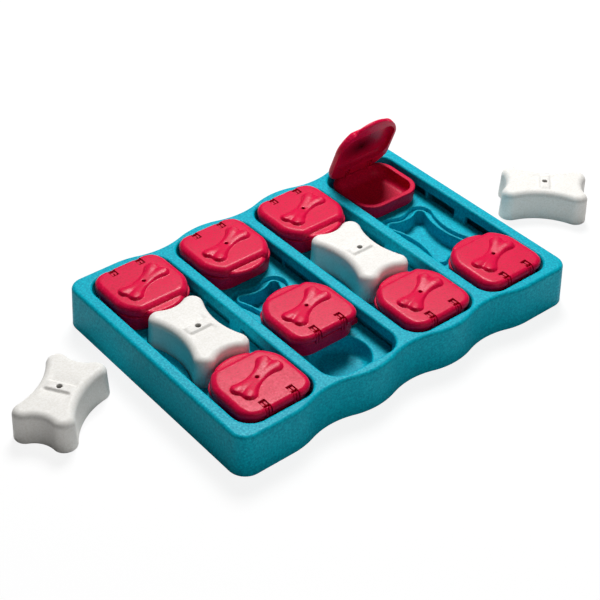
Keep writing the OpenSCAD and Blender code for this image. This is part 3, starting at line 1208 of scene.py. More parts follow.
@dataclass
class Tray:
    """The moulded tray with its lanes, wells, seats and ribbed underside.

    An "in" runs inwards from a plan and a "rim" outwards. A draft is a point on a leaning wall.
    """

    lanes: int = 4
    pitch: float = 79.0
    height: float = 36.0
    floor: float = 20.0
    skin: float = 2.6

    # the outline, waved along both long sides, and its skirt
    half_x: float = 165.5
    half_y: float = 113.1
    corner: float = 14.4
    wave: float = 3.2
    lean: float = 1.7
    chord: float = 1.6
    rim_round: float = 3.0
    skirt: Section = ((-0.7, 0.0), (-0.2, 0.2), (0.0, 0.7), (-0.85, 17.0))
    skirt_foot: Section = ((-3.0, 0.6), (-2.7, 0.0), (-0.7, 0.0))
    skirt_in: tuple[float, float] = (4.7, 3.85)

    # a lane and the runner slots in its walls
    lane_half_w: float = 34.25
    lane_half_l: float = 102.0
    lane_corner: float = 16.0
    mouth_round: float = 2.2
    lane_draft: tuple[float, float] = (-0.4, 29.0)
    lane_in: float = 2.2
    lane_round: float = 1.3
    floor_in: float = 2.8
    slot_from: float = 6.5
    slot_to: float = 90.7
    slot_x: float = 31.5
    slot_h: float = 8.0
    slot_sill: float = 0.02

    # a round well at a lane's end
    seat: float = 70.2
    well_r: float = 23.5
    well_floor: float = 8.0
    well_rim: float = 2.2
    well_lip: float = 1.6
    well_draft: tuple[float, float] = (-0.5, 16.0)
    well_in: float = 7.0
    well_round: float = 6.0

    # the bone-shaped seat at a lane's middle: lip, groove, ridge and well
    seat_rim: float = 2.4
    seat_lip: tuple[float, float] = (2.0, 1.2)
    seat_z: float = 16.5
    seat_gap: float = 0.8
    groove_round: float = 0.7
    ridge_round: float = 1.1
    pit_draft: tuple[float, float] = (-5.7, 14.0)
    pit_in: float = 7.5
    pit_round: float = 1.7

    # the underside: cups round the wells, the rim's hollow and the ribs
    cup_round: float = 8.4
    cup_rim: tuple[float, float] = (2.6, 0.6)
    seat_cup: Section = ((-3.2, 13.3), (-2.6, 13.9), (2.6, 13.9), (3.4, 14.6))
    seat_cup_in: tuple[float, float] = (5.2, 1.8)
    seat_cup_rim: float = 3.6
    hollow_rim: tuple[float, float] = (1.6, 2.1)
    rib_t: float = 2.4
    rib_y: float = 42.5
    rib_in: tuple[float, float] = (2.2, 2.4)
    rib_foot: float = 0.1
    rib_let: float = 0.3
    rib_round: float = 0.35
    web_w: float = 3.9
    web_gap: float = 0.02
    web_let: float = 1.0

    @property
    def under(self) -> float:
        """The height of the floors' underside."""
        return self.floor - self.skin

    def lane_x(self, number: int) -> float:
        """The middle of a lane, counted from 1 at the left."""
        return (number - (self.lanes + 1) / 2) * self.pitch

    def foot_plan(self) -> Plan:
        """The tray's outline at its foot, waved along both long sides.

        Returns:
            The plan.
        """
        r = ((self.pitch / 4) ** 2 + self.wave**2) / (2 * self.wave)
        crest, trough = self.half_y - r, self.half_y - 2 * self.wave + r
        tilt = math.degrees(math.atan2(trough - crest, self.pitch / 2))
        cx, cy = self.half_x - self.corner, self.half_y - self.corner
        half = [Arc(cx, cy, self.corner, 0, 90)]
        for number in range(self.lanes, 0, -1):
            x = self.lane_x(number)
            start = 90.0 if number == self.lanes else tilt
            half.append(Arc(x, crest, r, start, 90.0 if number == 1 else 180 - tilt))
            if number > 1:
                half.append(Arc(x - self.pitch / 2, trough, r, -tilt, tilt - 180))
        half.append(Arc(-cx, cy, self.corner, 90, 180))
        return Plan.of_arcs(half + [arc.turned() for arc in half], self.chord)

    def lane_plan(self) -> Plan:
        """The outline of a lane at its rim."""
        return Plan.rounded(self.lane_half_w, self.lane_half_l, self.lane_corner)

    def well_plans(self) -> list[Plan]:
        """The rims of a lane's two round wells."""
        return [Plan.circle(self.well_r, end.value * self.seat) for end in End]

    def lane_top(self) -> bpy.types.Mesh:
        """The upper side of one lane: walls, floor, end wells and bone-shaped seat.

        Returns:
            The mesh, open along the lane's mouth.
        """
        s = Surface()
        z, floor, pit = self.height, self.floor, self.well_floor
        lane, m = self.lane_plan(), self.mouth_round
        mouth = [(m + STRIP, z)] + bend(m, z - m, m, 90, 180, 7)
        foot = bend(-self.lane_in, floor + self.lane_round, self.lane_round, 0, -90, 4)
        s.wall(lane, mouth + [self.lane_draft] + foot + [(-self.floor_in, floor)])
        r, low = self.well_lip, self.well_round
        lip = [(self.well_rim, floor)] + bend(r, floor - r, r, 90, 180, 5)
        bowl = bend(-self.well_in, pit + low, low, 0, -90, 7)
        for well in self.well_plans():
            s.wall(well, lip + [self.well_draft] + bowl)
            s.flat([well.at(-self.well_in)], pit)
        bone = BoneBlock()
        seat, outer, inner = bone.foot_plan(), self.seat_gap, self.seat_gap + bone.wall
        (x, r), g = self.seat_lip, self.groove_round
        lip = [(self.seat_rim, floor)] + bend(x, floor - r, r, 90, 180, 5)
        groove = bend(outer - g, self.seat_z + g, g, 0, -90, 3)
        groove += bend(g - inner, self.seat_z + g, g, -90, -180, 3)
        r, low = self.ridge_round, self.pit_round
        ridge = bend(-inner - r, floor - r, r, 0, 180, 10)
        bowl = bend(-self.pit_in, pit + low, low, 0, -90, 5)
        s.wall(seat, lip + groove + ridge + [self.pit_draft] + bowl)
        s.flat([seat.at(-self.pit_in)], pit)
        wells = [well.at(self.well_rim) for well in self.well_plans()]
        s.flat([lane.at(-self.floor_in), *wells, seat.at(self.seat_rim)], floor)
        return s.mesh("lane_top")

    def lane_under(self) -> bpy.types.Mesh:
        """The underside of one lane: the cups of its wells, and its walls inside the rim's hollow.

        Returns:
            The mesh, open along the top of the hollow.
        """
        s = Surface()
        lane, seat, under = self.lane_plan(), BoneBlock().foot_plan(), self.under
        low, high = self.well_floor - self.skin, self.height - self.skin
        (rim, step), r = self.cup_rim, self.cup_round
        cup = bend(-self.well_in, low + r, r, -90, 0, 7)
        cup += [(rim - step, under - step), (rim, under)]
        for well in self.well_plans():
            s.flat([well.at(-self.well_in)], low, up=False)
            s.wall(well, cup)
        s.flat([seat.at(-self.well_in)], low, up=False)
        x, r = self.seat_cup_in
        turn = [(-self.well_in, low)] + bend(-x, low + r, r, -90, 0, 3) + list(self.seat_cup)
        s.wall(seat, turn + [(self.seat_cup_rim, under)])
        cups = [well.at(rim) for well in self.well_plans()] + [seat.at(self.seat_cup_rim)]
        near, far = self.hollow_rim
        s.flat([lane.at(near), *cups], under, up=False)
        s.wall(lane, [(near, under), (far, under + far - near), (far, high)])
        return s.mesh("lane_under")

    def shell(self) -> bpy.types.Mesh:
        """The whole moulding without its ribs.

        Returns:
            The closed mesh, with the runner slots cut.
        """
        foot, lane = self.foot_plan(), self.lane_plan()
        z, r, high = self.height, self.rim_round, self.height - self.skin
        s = Surface()
        inner = -self.lean - r - STRIP
        edge = bend(-self.lean - r, z - r, r, 0, 90, 8)
        s.wall(foot, [*self.skirt, *edge, (inner, z)])
        places = [np.array([self.lane_x(n + 1), 0.0]) for n in range(self.lanes)]
        mouth, hollow = lane.at(self.mouth_round + STRIP), lane.at(self.hollow_rim[1])
        s.flat([foot.at(inner), *[mouth + at for at in places]], z)
        top, middle = self.skirt_in
        s.flat([foot.at(-top), *[hollow + at for at in places]], high, up=False)
        s.wall(foot, [(-top, high), (-middle, self.under), *self.skirt_foot])
        start, step = (self.lane_x(1), 0.0, 0.0), (self.pitch, 0.0, 0.0)
        for part in (self.lane_top(), self.lane_under()):
            s.take(row(part.name, part, self.lanes, start, step), 1 / MM)
        slots = Surface()
        for side in (-1, 1):
            for end in End:
                x = sorted((side * self.slot_x, side * (self.lane_half_w + self.skin)))
                y = sorted((end.value * self.slot_from, end.value * self.slot_to))
                low, top = self.floor + self.slot_sill, self.floor + self.slot_h
                slots.block((x[0], y[0], low), (x[1], y[1], top))
        cutters = row("slots", slots.mesh("slots"), self.lanes, start, step)
        return cut_from(s.mesh("tray_shell"), cutters)

    def ribs(self) -> bpy.types.Mesh:
        """The ribs under the floors and dividers.

        Returns:
            The mesh of closed ribs, let into the skirt and the floors.
        """
        half, let, (in_x, in_y) = self.rib_t / 2, self.rib_let, self.rib_in
        top, high = self.under + let, self.height - self.skin + let
        reach_x, reach_y = self.half_x - in_x, self.half_y - 2 * self.wave - in_y
        long_rib, cross_rib, web = Surface(), Surface(), Surface()
        long_rib.block((-half, -reach_y, self.rib_foot), (half, reach_y, high))
        cross_rib.block((-reach_x, -half, let), (reach_x, half, top))
        thin = half - self.web_gap
        web.block((-self.web_w, -thin, top - self.web_let), (self.web_w, thin, high))
        along = softened(long_rib.mesh("long_rib"), self.rib_round)
        across = softened(cross_rib.mesh("cross_rib"), self.rib_round)
        middle, side = (self.lanes - 2) / 2 * self.pitch, self.lanes / 2 * self.pitch
        rows = [row("long_ribs", along, self.lanes - 1, (-middle, 0, 0), (self.pitch, 0, 0))]
        rows.append(row("cross_ribs", across, 2, (0, -self.rib_y, 0), (0, 2 * self.rib_y, 0)))
        for y in (-self.rib_y, self.rib_y):
            start, step = (-side, y, 0), (self.pitch, 0, 0)
            rows.append(row("rib_webs", web.mesh("rib_web"), self.lanes + 1, start, step))
        return joined("tray_ribs", rows)

    def build(self) -> None:
        """Makes the tray's pieces."""
        numbers = range(1, self.lanes + 1)
        nodes = [f"tray_lane_{number}" for number in numbers]
        nodes += [f"tray_rim_{number}_{end.name.lower()}" for number in numbers for end in End]
        finished("tray_shell", self.shell(), "tray", TRAY_TEAL, nodes)
        finished("tray_ribs", self.ribs(), "tray", TRAY_TEAL)


# ---- treat boxes ----


@dataclass
class TreatBox:
    """A treat box, drawn at the origin with its hinge end towards -Y."""

    half_w: float = 31.2
    half_l: float = 28.1
    mid_y: float = -0.4
    corner: float = 17.0
    foot_z: float = 20.3
    rim_z: float = 33.0

    # the section of the cup: a foot, a leaning wall, a flat rim and a scoop
    wall: float = 4.4
    floor: float = 2.0
    scoop: float = 7.0
    foot_in: float = 2.5
    foot_round: float = 1.6
    draft: tuple[float, float] = (-0.5, 27.0)
    rim_in: float = 0.95
    rim_round: float = 0.9
    rim_flat: tuple[float, float] = (1.4, 1.2)
    edge_round: float = 0.7

    # the snap clips, each split in two prongs
    hinge_y: float = -26.3
    hinge_z: float = 37.3
    clip_x: float = 12.3
    clip_w: float = 4.6
    clip_r: float = 3.4
    clip_split: float = 0.8
    clip_round: float = 0.16
    clip_root: float = 2.0
    clip_edge: float = 0.8
    tongue: float = 4.9
    tongue_t: float = 1.4
    tongue_nip: float = 0.3
    bore_r: float = 1.58
    mouth: float = 2.2

    # the runners
    runner_x: float = 31.9
    runner_t: float = 5.9
    runner_y: tuple[float, float] = (-20.0, -7.0)
    runner_h: float = 5.0
    runner_round: float = 0.5

    def cup(self) -> bpy.types.Mesh:
        """The cup: leaning walls, a flat rim and a scooped floor.

        Returns:
            The closed mesh.
        """
        s = Surface()
        plan = Plan.rounded(self.half_w, self.half_l, self.corner, self.mid_y)
        z0, z1, deep = self.foot_z, self.rim_z, -self.wall - self.scoop
        foot = bend(-self.foot_in, z0 + self.foot_round, self.foot_round, -90, 0, 5)
        rim = bend(-self.rim_in, z1 - self.rim_round, self.rim_round, 0, 90, 5)
        rim += [(-self.rim_flat[0], z1), (-self.wall + self.rim_flat[1], z1)]
        r = self.edge_round
        edge = bend(-self.wall + r, z1 - r, r, 90, 180, 4)
        bowl = bend(deep, z0 + self.floor + self.scoop, self.scoop, 0, -90, 9)
        s.flat([plan.at(-self.foot_in)], z0, up=False)
        s.wall(plan, foot + [self.draft] + rim + edge + bowl)
        s.flat([plan.at(deep)], z0 + self.floor)
        return s.mesh("cup")

    def clips(self) -> bpy.types.Mesh:
        """The two snap clips of the hinge, each split in two prongs.

        Returns:
            The mesh of closed prongs.
        """
        half, r, tip = self.mouth / 2, self.clip_r, self.tongue
        gape = math.degrees(math.acos(half / r))
        throat = math.degrees(math.acos(half / self.bore_r))
        edge, neck = r - self.clip_edge, self.rim_z - self.clip_root - self.hinge_z
        low = math.degrees(math.acos(edge / r))
        top, nip = r * math.sin(math.radians(gape)), self.tongue_nip
        ring = bend(0.0, 0.0, r, 180, 180 - gape, 9)[::-1]
        ring += [ring[-1], (-r, neck), (edge, neck)] + bend(0.0, 0.0, r, -low, 20, 5)
        ring += [(tip, top - self.tongue_t), (tip, top - nip), (tip - nip, top), (half, top)]
        ring += bend(0.0, 0.0, self.bore_r, throat, -180 - throat, 18)
        outline = [(self.hinge_y + y, self.hinge_z + z) for y, z in ring]
        prong = (self.clip_w - self.clip_split) / 2
        s = Surface()
        for x in (-self.clip_w / 2, self.clip_w / 2 - prong):
            s.prism(outline, x, x + prong)
        return paired("clips", softened(s.mesh("clip"), self.clip_round, 1), self.clip_x)

    def runners(self) -> bpy.types.Mesh:
        """The two runners that slide in the slots of a lane's walls.

        Returns:
            The mesh of closed runners.
        """
        s = Surface()
        (y0, y1), z, half = self.runner_y, self.foot_z, self.runner_t / 2
        s.block((-half, y0, z), (half, y1, z + self.runner_h))
        return paired("runners", softened(s.mesh("runner"), self.runner_round, 3), self.runner_x)

    def build(self, name: str, place: Matrix) -> None:
        """Makes one box.

        Args:
            name: Its body's and node's name.
            place: Where it stands.
        """
        finished(f"{name}_cup", self.cup(), name, BOX_RED, [name], place)
        finished(f"{name}_clips", self.clips(), name, BOX_RED, (), place)
        finished(f"{name}_runners", self.runners(), name, BOX_RED, (), place)


# ---- flip lids ----


@dataclass
class FlipLid:
    """A flip lid, drawn closed over a box at the origin, hinge end towards -Y."""

    # the outline: hinge end, bulging sides, a straight step and the finger lip past it
    half_w: float = 31.7
    corner: float = 14.5
    side_r: float = 20.0
    tip_r: float = 7.0
    hinge_y: float = -26.3
    step_y: float = 27.0
    lip_y: float = 33.8
    arc_y: float = 1.2
    chord: float = 1.1
    gap: float = 1.2

    # the sections of the side, of the lip's nose and of the ledge over it
    base: float = 33.4
    thick: float = 7.8
    round: float = 5.4
    edge: Section = (
        (-0.6, 0.0), (-0.18, 0.18), (0.0, 0.6), (0.0, 0.9), (0.0, 1.2), (0.0, 1.6), (0.0, 2.0)
    )
    lip_t: float = 4.0
    nose: float = 1.9
    nose_tilt: float = 20.0
    nose_flat: float = 0.8
    ledge_out: float = 0.35

    # how the sections blend: where each starts and over what length
    lip_from: float = 19.0
    lip_blend: float = 3.4
    hinge_from: float = -19.0
    hinge_blend: float = 8.0

    # the hollow underside
    hollow: tuple[float, float, float, float] = (28.6, 19.4, 13.0, 2.0)
    hollow_edge: Section = ((0.7, 0.0), (0.2, 0.2), (0.0, 0.7))
    hollow_round: float = 3.0
    roof_t: float = 2.4

    # the windows and the pins across them
    window_w: float = 6.0
    window_in: float = 6.5
    clip_x: float = 12.3
    pin_r: float = 1.5
    pin_let: float = 0.8

    # the bone figure: lobes, waist, turn, height, and the ridges that climb to its lobes
    lobe_x: float = 17.4
    lobe_y: float = 4.8
    lobe_r: float = 5.7
    figure_end: float = 21.9
    figure_waist: float = 5.5
    figure_turn: float = 21.0
    figure_h: float = 2.6
    figure_foot: Section = ((0.9, 0.0), (0.45, 0.02), (0.15, 0.14), (0.0, 0.3))
    figure_edge: float = 2.3
    ridge_from: float = 1.5
    ridge_l: float = 14.0
    ridge_w: float = 5.0
    ridge_slope: float = 0.29
    ridge_shares: tuple[float, float, float] = (0.5, 0.16, 0.34)
    figure_chord: float = 0.7
    grid: tuple[int, int, float, float] = (30, 20, 0.8, 0.8)
    grid_in: float = 0.45

    # the small hole in the figure's middle
    hole_r: float = 1.5
    hole_chord: float = 0.6
    hole_edge: Section = ((0.35, 0.0), (0.1, -0.12), (0.0, -0.4))

    @property
    def top(self) -> float:
        """The height of the plate's top."""
        return self.base + self.thick

    def plan(self) -> Plan:
        """The outline of the lid's upper plate, with a straight step above the finger lip.

        Returns:
            The plan, its points on the lip's stretch close together.
        """
        end = self.hinge_y - self.thick / 2 + self.corner
        reach, side, tip = self.lip_y - self.arc_y, self.side_r, self.tip_r
        rise = math.sqrt((reach - side) ** 2 - (self.half_w - side) ** 2)
        lean = math.degrees(math.atan2(rise, self.half_w - side))
        step = self.step_y - tip
        wide = math.sqrt((reach - tip) ** 2 - (step - self.arc_y) ** 2)
        meet = math.degrees(math.atan2(step - self.arc_y, wide))
        right = [
            Arc(self.half_w - self.corner, end, self.corner, -90, 0),
            Arc(self.half_w - side, self.arc_y + rise, side, 0, lean),
            Arc(0.0, self.arc_y, reach, lean, meet),
            Arc(wide, step, tip, meet, 90),
        ]
        left = [arc.mirrored() for arc in reversed(right)]
        return Plan.of_arcs(right + left, self.chord).divided(self.gap)

    def figure_plan(self) -> Plan:
        """The outline of the plain bone figure on the lid."""
        lobe, waist = (self.lobe_x, self.lobe_y, self.lobe_r), (self.figure_end, self.figure_waist)
        return Plan.bone(*lobe, *waist, self.figure_turn, self.figure_chord)

    def figure_height(self, spots: np.ndarray) -> np.ndarray:
        """The height of the figure's rounded top: a ridge climbs from the hole to each lobe.

        Args:
            spots: Points in plan.

        Returns:
            Their heights.
        """
        outline = self.figure_plan().points
        ahead = np.roll(outline, -1, axis=0) - outline
        along = ((spots[:, None] - outline) * ahead).sum(2) / (ahead**2).sum(1)
        foot = outline + np.clip(along, 0, 1)[..., None] * ahead
        edge = np.linalg.norm(spots[:, None] - foot, axis=2).min(axis=1)
        local = np.abs(spots @ np.array(Matrix.Rotation(math.radians(self.figure_turn), 2)))
        out, across = local[:, 0] - self.ridge_from, local[:, 1]
        beside = np.abs(across - self.ridge_slope * np.maximum(out, 0)) / self.ridge_w
        ridge = 1 - np.clip(beside, 0, 1) ** 2
        swell = 1 - np.clip(1 - edge / self.figure_edge, 0, 1) ** 2
        low, climb, crest = self.ridge_shares
        share = low + np.clip(out / self.ridge_l, 0, 1) * (climb + crest * ridge)
        return self.top + self.figure_h * np.sqrt(swell) * share

    def figure_top(self, spots: np.ndarray) -> np.ndarray:
        """The figure's height where it meets its foot and above."""
        return np.maximum(self.figure_height(spots), self.top + self.figure_foot[-1][1])

    def rings(self) -> list[np.ndarray]:
        """The rings of the lid's outside, from its lower edge up to its top.

        A side's section, the half-round hinge end's and the finger lip's blend into each other.

        Returns:
            The rings.
        """
        plan, z, top, r = self.plan(), self.base, self.top, self.round
        barrel, n = self.thick / 2, self.nose
        points, reach = plan.points, self.lip_y - self.arc_y
        arc = self.arc_y + np.sqrt(np.maximum(reach**2 - points[:, 0] ** 2, 0.0))
        past = np.maximum(arc - points[:, 1], 0.0)
        gap = np.where(points[:, 1] > self.lip_from, past, 0.0)
        lip = smooth(gap / self.lip_blend)[:, None]
        hinge = smooth((self.hinge_from - points[:, 1]) / self.hinge_blend)[:, None]
        ray = np.column_stack([points[:, 0] / reach, (arc - self.arc_y) / reach])
        rim = np.column_stack([points[:, 0], points[:, 1] + gap])
        side = raised(self.edge, z) + bend(-r, top - r, r, 0, 90, 8)
        nose = bend(-n, z + n, n, -90, 0, 2)
        nose += bend(-n, z + self.lip_t - n, n, self.nose_tilt, 90, 2)
        nose += [(-n - self.nose_flat, z + self.lip_t)]
        start = math.degrees(math.asin((z + self.lip_t - top + r) / r))
        ledge = [(self.ledge_out, z + self.lip_t)] + bend(-r, top - r, r, start + 2, 90, 7)
        rings = []
        for k, (offset, height) in enumerate(side):
            turn = math.radians(-90 + 180 * k / (len(side) - 1))
            back, rise = barrel * (math.cos(turn) - 1), barrel * (1 + math.sin(turn))
            half_round = level(plan.at(back), z + rise)
            if k < len(nose):
                fore = level(rim + ray * nose[k][0], nose[k][1])
            else:
                fore = level(plan.at(ledge[k - len(nose)][0]), ledge[k - len(nose)][1])
            ring = level(plan.at(offset), height) * (1 - hinge - lip)
            rings.append(ring + half_round * hinge + fore * lip)
        return rings

    def plate(self) -> bpy.types.Mesh:
        """The lid itself: rounded plate, finger lip, raised figure, hole, hollow and windows.

        Returns:
            The closed mesh.
        """
        s = Surface()
        rings, figure, top, z = self.rings(), self.figure_plan(), self.top, self.base
        hollow, r = Plan.rounded(*self.hollow), self.hollow_round
        hole = Plan.circle(self.hole_r, step=self.hole_chord)
        spots = clear_of_hole(lattice(*self.grid), figure.at(-self.grid_in), self.hole_r)
        roof = top - self.roof_t
        s.flat([rings[0][:, :2], hollow.at(self.hollow_edge[0][0])], z, up=False)
        s.wall(hollow, raised(self.hollow_edge, z) + bend(-r, roof - r, r, 0, 90, 5))
        s.flat([hollow.at(-r), hole.at(0.0)], roof, up=False)
        s.skin(rings)
        s.flat([rings[-1][:, :2], figure.at(self.figure_foot[0][0])], top)
        s.wall(figure, raised(self.figure_foot, top))
        rim = hole.at(self.hole_edge[0][0])
        crown = self.figure_height(rim)
        s.flat([figure.at(0.0), rim], self.figure_top, extra=spots)
        rungs = [level(hole.at(offset), crown + drop) for offset, drop in self.hole_edge]
        s.skin([*rungs, level(hole.at(0.0), roof)])
        windows, half = Surface(), self.window_w / 2
        for x in (-self.clip_x, self.clip_x):
            low = (x - half, self.hinge_y - self.thick, z - 2)
            windows.block(low, (x + half, self.hinge_y + self.window_in, top + 2))
        return cut_from(s.mesh("lid_plate"), windows.mesh("windows"))

    def pins(self) -> bpy.types.Mesh:
        """The two hinge pins across the windows.

        Returns:
            The mesh of closed pins.
        """
        s = Surface()
        axis_z, half = self.base + self.thick / 2, self.window_w / 2 + self.pin_let
        ring = bend(0.0, 0.0, self.pin_r, 0, 345, 23)
        s.prism([(self.hinge_y + y, axis_z + h) for y, h in ring], -half, half)
        return paired("pins", s.mesh("pin"), self.clip_x)

    def build(self, name: str, place: Matrix, open_by: float) -> None:
        """Makes one lid.

        Args:
            name: Its body's and node's name.
            place: Where its box stands.
            open_by: How far it stands open, in degrees.
        """
        axis = Matrix.Translation((0, self.hinge_y * MM, (self.base + self.thick / 2) * MM))
        turn = axis @ Matrix.Rotation(math.radians(open_by), 4, "X") @ axis.inverted()
        finished(f"{name}_plate", self.plate(), name, LID_RED, [name], place @ turn, self.hole_r)
        finished(f"{name}_pins", self.pins(), name, LID_RED, (), place @ turn)


# ---- bone blocks ----


@dataclass
class BoneBlock:
    """A hollow bone block, drawn with its foot on z = 0 and its length along Y."""

    height: float = 27.5
    lobe_x: float = 14.9
    lobe_y: float = 28.0
    lobe_r: float = 9.5
    waist_w: float = 18.2
    waist_l: float = 33.4

    # the section: a foot, a leaning wall, a broad shoulder and the hollow inside
    foot: Section = ((-0.6, 0.0), (-0.16, 0.16), (0.0, 0.6))
    draft: tuple[float, float] = (-0.55, 12.0)
    lean: float = 1.0
    shoulder: float = 5.6
    shoulder_end: float = 82.0
    top_in: float = 0.4
    top_let: float = 0.1
    wall: float = 2.6
    wall_edge: float = 0.4
    roof_t: float = 3.6
    hollow_in: float = 8.2
    hollow_round: float = 4.5

    # the bar across the waist with the scent hole, and the dips beside it
    hole_r: float = 2.2
    hole_chord: float = 0.7
    hole_edge: Section = ((0.5, 0.0), (0.15, -0.15), (0.0, -0.5))
    bar: float = 2.9
    bar_l: float = 11.9
    bar_h: float = 0.9
    bar_end: float = 3.8
    flank: float = 2.8
    thumb: float = 13.0
    thumb_d: float = 0.9
    coarse_grid: tuple[int, int, float, float] = (30, 30, 1.5, 1.5)
    fine_grid: tuple[int, int, float, float] = (24, 20, 0.6, 0.5)
    fine_zone: tuple[float, float] = (15.0, 10.8)
    grid_in: float = 0.5

    @property
    def top(self) -> float:
        """The height of the bar's top, just under the solid's."""
        return self.height - self.top_let

    def foot_plan(self) -> Plan:
        """The outline at the foot."""
        return Plan.bone(self.lobe_x, self.lobe_y, self.lobe_r, self.waist_w, self.waist_l)

    def top_height(self, spots: np.ndarray) -> np.ndarray:
        """The height of the top: a low bar with the hole in it crosses a shallow thumb recess.

        Args:
            spots: Points in plan.

        Returns:
            Their heights.
        """
        x, y = np.abs(spots[:, 0]), np.abs(spots[:, 1])
        beside = smooth((y - self.bar) / self.flank)
        ends = smooth((self.bar_l - x) / self.bar_end)
        dip = self.thumb_d * beside * smooth(1 - (y - self.bar) / self.thumb) * ends
        return self.top - self.bar_h * (1 - (1 - beside) * ends) - dip

    def mesh(self) -> bpy.types.Mesh:
        """The whole block.

        Returns:
            The closed mesh.
        """
        s = Surface()
        plan, z, r = self.foot_plan(), self.top - self.bar_h, self.shoulder
        edge = (-self.wall + self.wall_edge, 0.0)
        shoulder = bend(-self.lean - r, z - r - STRIP, r + STRIP, 0, self.shoulder_end, 12)
        last, roof = shoulder[-1][0] - self.top_in, z - self.roof_t
        hole = Plan.circle(self.hole_r, step=self.hole_chord)
        s.wall(plan, [edge, *self.foot, self.draft, *shoulder, (last, z)])
        coarse = lattice(*self.coarse_grid)
        coarse = coarse[(np.abs(coarse) > self.fine_zone).any(axis=1)]
        spots = np.concatenate([coarse, lattice(*self.fine_grid)])
        spots = clear_of_hole(spots, plan.at(last - self.grid_in), self.hole_r)
        s.flat([plan.at(last), hole.at(self.hole_edge[0][0])], self.top_height, extra=spots)
        s.wall(hole, raised(self.hole_edge, self.top) + [(0.0, roof)])
        far, r = self.hollow_in, self.hollow_round
        s.flat([plan.at(-far), hole.at(0.0)], roof, up=False)
        inner = [(-far, roof)] + bend(STRIP - far, roof - r, r, 90, 0, 5)
        s.wall(plan, inner + [(-self.wall, self.wall_edge), edge])
        return s.mesh("bone_block")

    def build(self, name: str, place: Matrix) -> None:
        """Makes one block.

        Args:
            name: Its body's and node's name.
            place: Where it stands.
        """
        finished(f"{name}_block", self.mesh(), name, BONE_WHITE, [name], place, self.hole_r)


# ---- the studio ----


@dataclass(frozen=True)
class Softbox:
    """A square softbox that looks at the toy.

    Args:
        name: Its name.
        size: Its side in metres.
        power: Its power in watts.
        at: Its place in metres.
        aim: The place that it looks at, in metres.
    """

    name: str
    size: float
    power: float
    at: tuple[float, float, float]
    aim: tuple[float, float, float] = (0.0, 0.0, 0.02)

    def build(self) -> None:
        """Adds the softbox to the scene."""
        data = bpy.data.lights.new(self.name, "AREA")
        data.shape, data.size, data.energy = "SQUARE", self.size, self.power
        lamp = bpy.data.objects.new(self.name, data)
        bpy.context.scene.collection.objects.link(lamp)
        turn = (Vector(self.aim) - Vector(self.at)).to_track_quat("-Z", "Y")
        lamp.matrix_world = Matrix.Translation(self.at) @ turn.to_matrix().to_4x4()


@dataclass(frozen=True)
class Studio:
    """The camera, the lamps, the world and the floor. Eye and floor are in millimetres."""

    eye: tuple[float, float, float] = (-583.24, -664.77, 713.81)
    heading: float = 40.223
    dip: float = 38.563
    roll: float = 1.381
    lens: float = 85.647
    sensor: float = 36.0
    sight: float = 20.0
    key: Softbox = Softbox("key", 0.7, 46.0, (0.72, 0.82, 1.68))
    fill: Softbox = Softbox("fill", 0.9, 2.8, (-0.1, -1.3, 0.72))
    ambient: float = 0.04
    floor_half: float = 4000.0
    floor_z: float = -0.05
    floor_bounce: float = 0.74
    floor_seen: float = 0.97
    glow: float = 1.03
    glow_share: float = 0.84

    def camera(self) -> None:
        """Sets the camera over the front left corner."""
        data = bpy.data.cameras.new("camera")
        data.lens, data.sensor_width, data.clip_end = self.lens, self.sensor, self.sight
        camera = bpy.data.objects.new("camera", data)
        bpy.context.scene.collection.objects.link(camera)
        turn = (
            Matrix.Rotation(math.radians(-self.heading), 4, "Z")
            @ Matrix.Rotation(math.radians(90 - self.dip), 4, "X")
            @ Matrix.Rotation(math.radians(self.roll), 4, "Z")
        )
        camera.matrix_world = Matrix.Translation(Vector(self.eye) * MM) @ turn
        bpy.context.scene.camera = camera

    def world(self) -> None:
        """Sets a dim grey world that the camera sees as white."""
        world = bpy.data.worlds.new("studio")
        g = Graph.fresh(world)
        strength = g.seen() * (1 - self.ambient) + self.ambient
        light = g.value("ShaderNodeBackground", None, {"Color": grey(1.0), "Strength": strength})
        g.node("ShaderNodeOutputWorld", None, {"Surface": light})
        bpy.context.scene.world = world

    def floor(self) -> None:
        """Lays a white floor that keeps the toy's shadow."""
        s, half = Surface(), self.floor_half
        corners = [(-half, -half), (half, -half), (half, half), (-half, half)]
        s.add(level(np.array(corners), self.floor_z), [(0, 1, 2, 3)])
        floor = in_scene("floor", s.mesh("floor"))
        made = bpy.data.materials.new("floor")
        g = Graph.fresh(made)
        seen = g.seen()
        shade = g.tint(seen, grey(self.floor_bounce), grey(self.floor_seen))
        matt = g.value("ShaderNodeBsdfDiffuse", None, {"Color": shade})
        glow = g.value("ShaderNodeEmission", None, {"Color": grey(1.0), "Strength": self.glow})
        mixed = g.value("ShaderNodeMixShader", None, {0: seen * self.glow_share, 1: matt, 2: glow})
        g.node("ShaderNodeOutputMaterial", None, {"Surface": mixed})
        floor.data.materials.append(made)

    def build(self) -> None:
        """Sets up the studio."""
        bpy.context.scene.view_settings.view_transform = "Standard"
        self.camera()
        self.world()
        self.key.build()
        self.fill.build()
        self.floor()


# ---- the whole toy ----


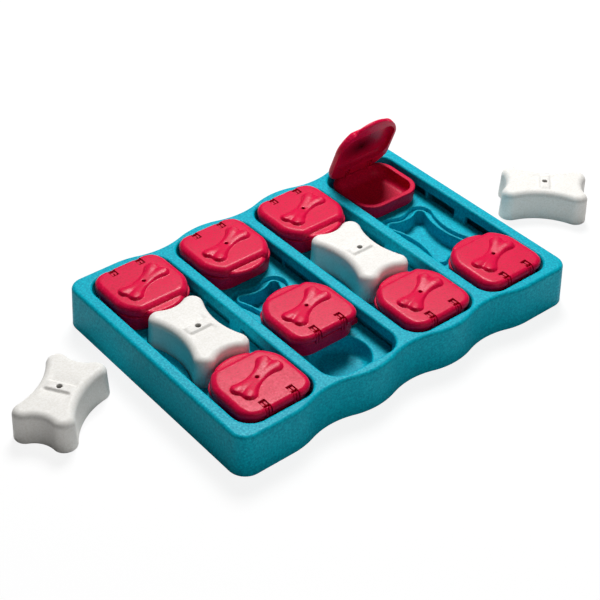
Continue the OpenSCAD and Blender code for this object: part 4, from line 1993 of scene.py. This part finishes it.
@dataclass
class Feeder:
    """The feeder: where its boxes, lids and blocks stand."""

    tray: Tray = field(default_factory=Tray)
    box: TreatBox = field(default_factory=TreatBox)
    lid: FlipLid = field(default_factory=FlipLid)
    bone: BoneBlock = field(default_factory=BoneBlock)
    pushed: Mapping[str, float] = field(default_factory=lambda: {"2_front": 40.7})
    opened: Mapping[str, float] = field(default_factory=lambda: {"4_back": 70.0})
    seated_bones: Mapping[str, int] = field(default_factory=lambda: {"bone_1": 1, "bone_3": 3})
    loose_bones: Mapping[str, tuple[float, float, float]] = field(
        default_factory=lambda: {"bone_2": (-225.0, 22.5, -56.5), "bone_4": (245.0, -10.0, -135.0)}
    )

    def seat(self, lane: int, end: End, push: float) -> Matrix:
        """Where a box stands.

        Args:
            lane: Its lane, counted from 1 at the left.
            end: Its end of the lane.
            push: How far it is pushed towards the middle, in millimetres.

        Returns:
            The placing matrix, in metres.
        """
        at = (self.tray.lane_x(lane), end.value * (self.tray.seat - push), 0.0)
        turn = Matrix.Rotation(math.pi if end is End.BACK else 0.0, 4, "Z")
        return Matrix.Translation(Vector(at) * MM) @ turn

    def build(self) -> None:
        """Makes every piece."""
        self.tray.build()
        for lane in range(1, self.tray.lanes + 1):
            for end in End:
                key = f"{lane}_{end.name.lower()}"
                place = self.seat(lane, end, self.pushed.get(key, 0.0))
                self.box.build(f"box_{key}", place)
                self.lid.build(f"lid_{key}", place, self.opened.get(key, 0.0))
        for name, lane in self.seated_bones.items():
            at = (self.tray.lane_x(lane), 0.0, self.tray.seat_z)
            self.bone.build(name, Matrix.Translation(Vector(at) * MM))
        for name, (x, y, turn) in self.loose_bones.items():
            spin = Matrix.Rotation(math.radians(turn), 4, "Z")
            self.bone.build(name, Matrix.Translation(Vector((x, y, 0)) * MM) @ spin)


def main() -> None:
    """Builds the toy and the studio, then reports."""
    logging.basicConfig(level=logging.INFO, format="%(name)s: %(message)s", stream=sys.stdout)
    Feeder().build()
    Studio().build()
    log.info("finished")


if __name__ == "__main__":
    main()
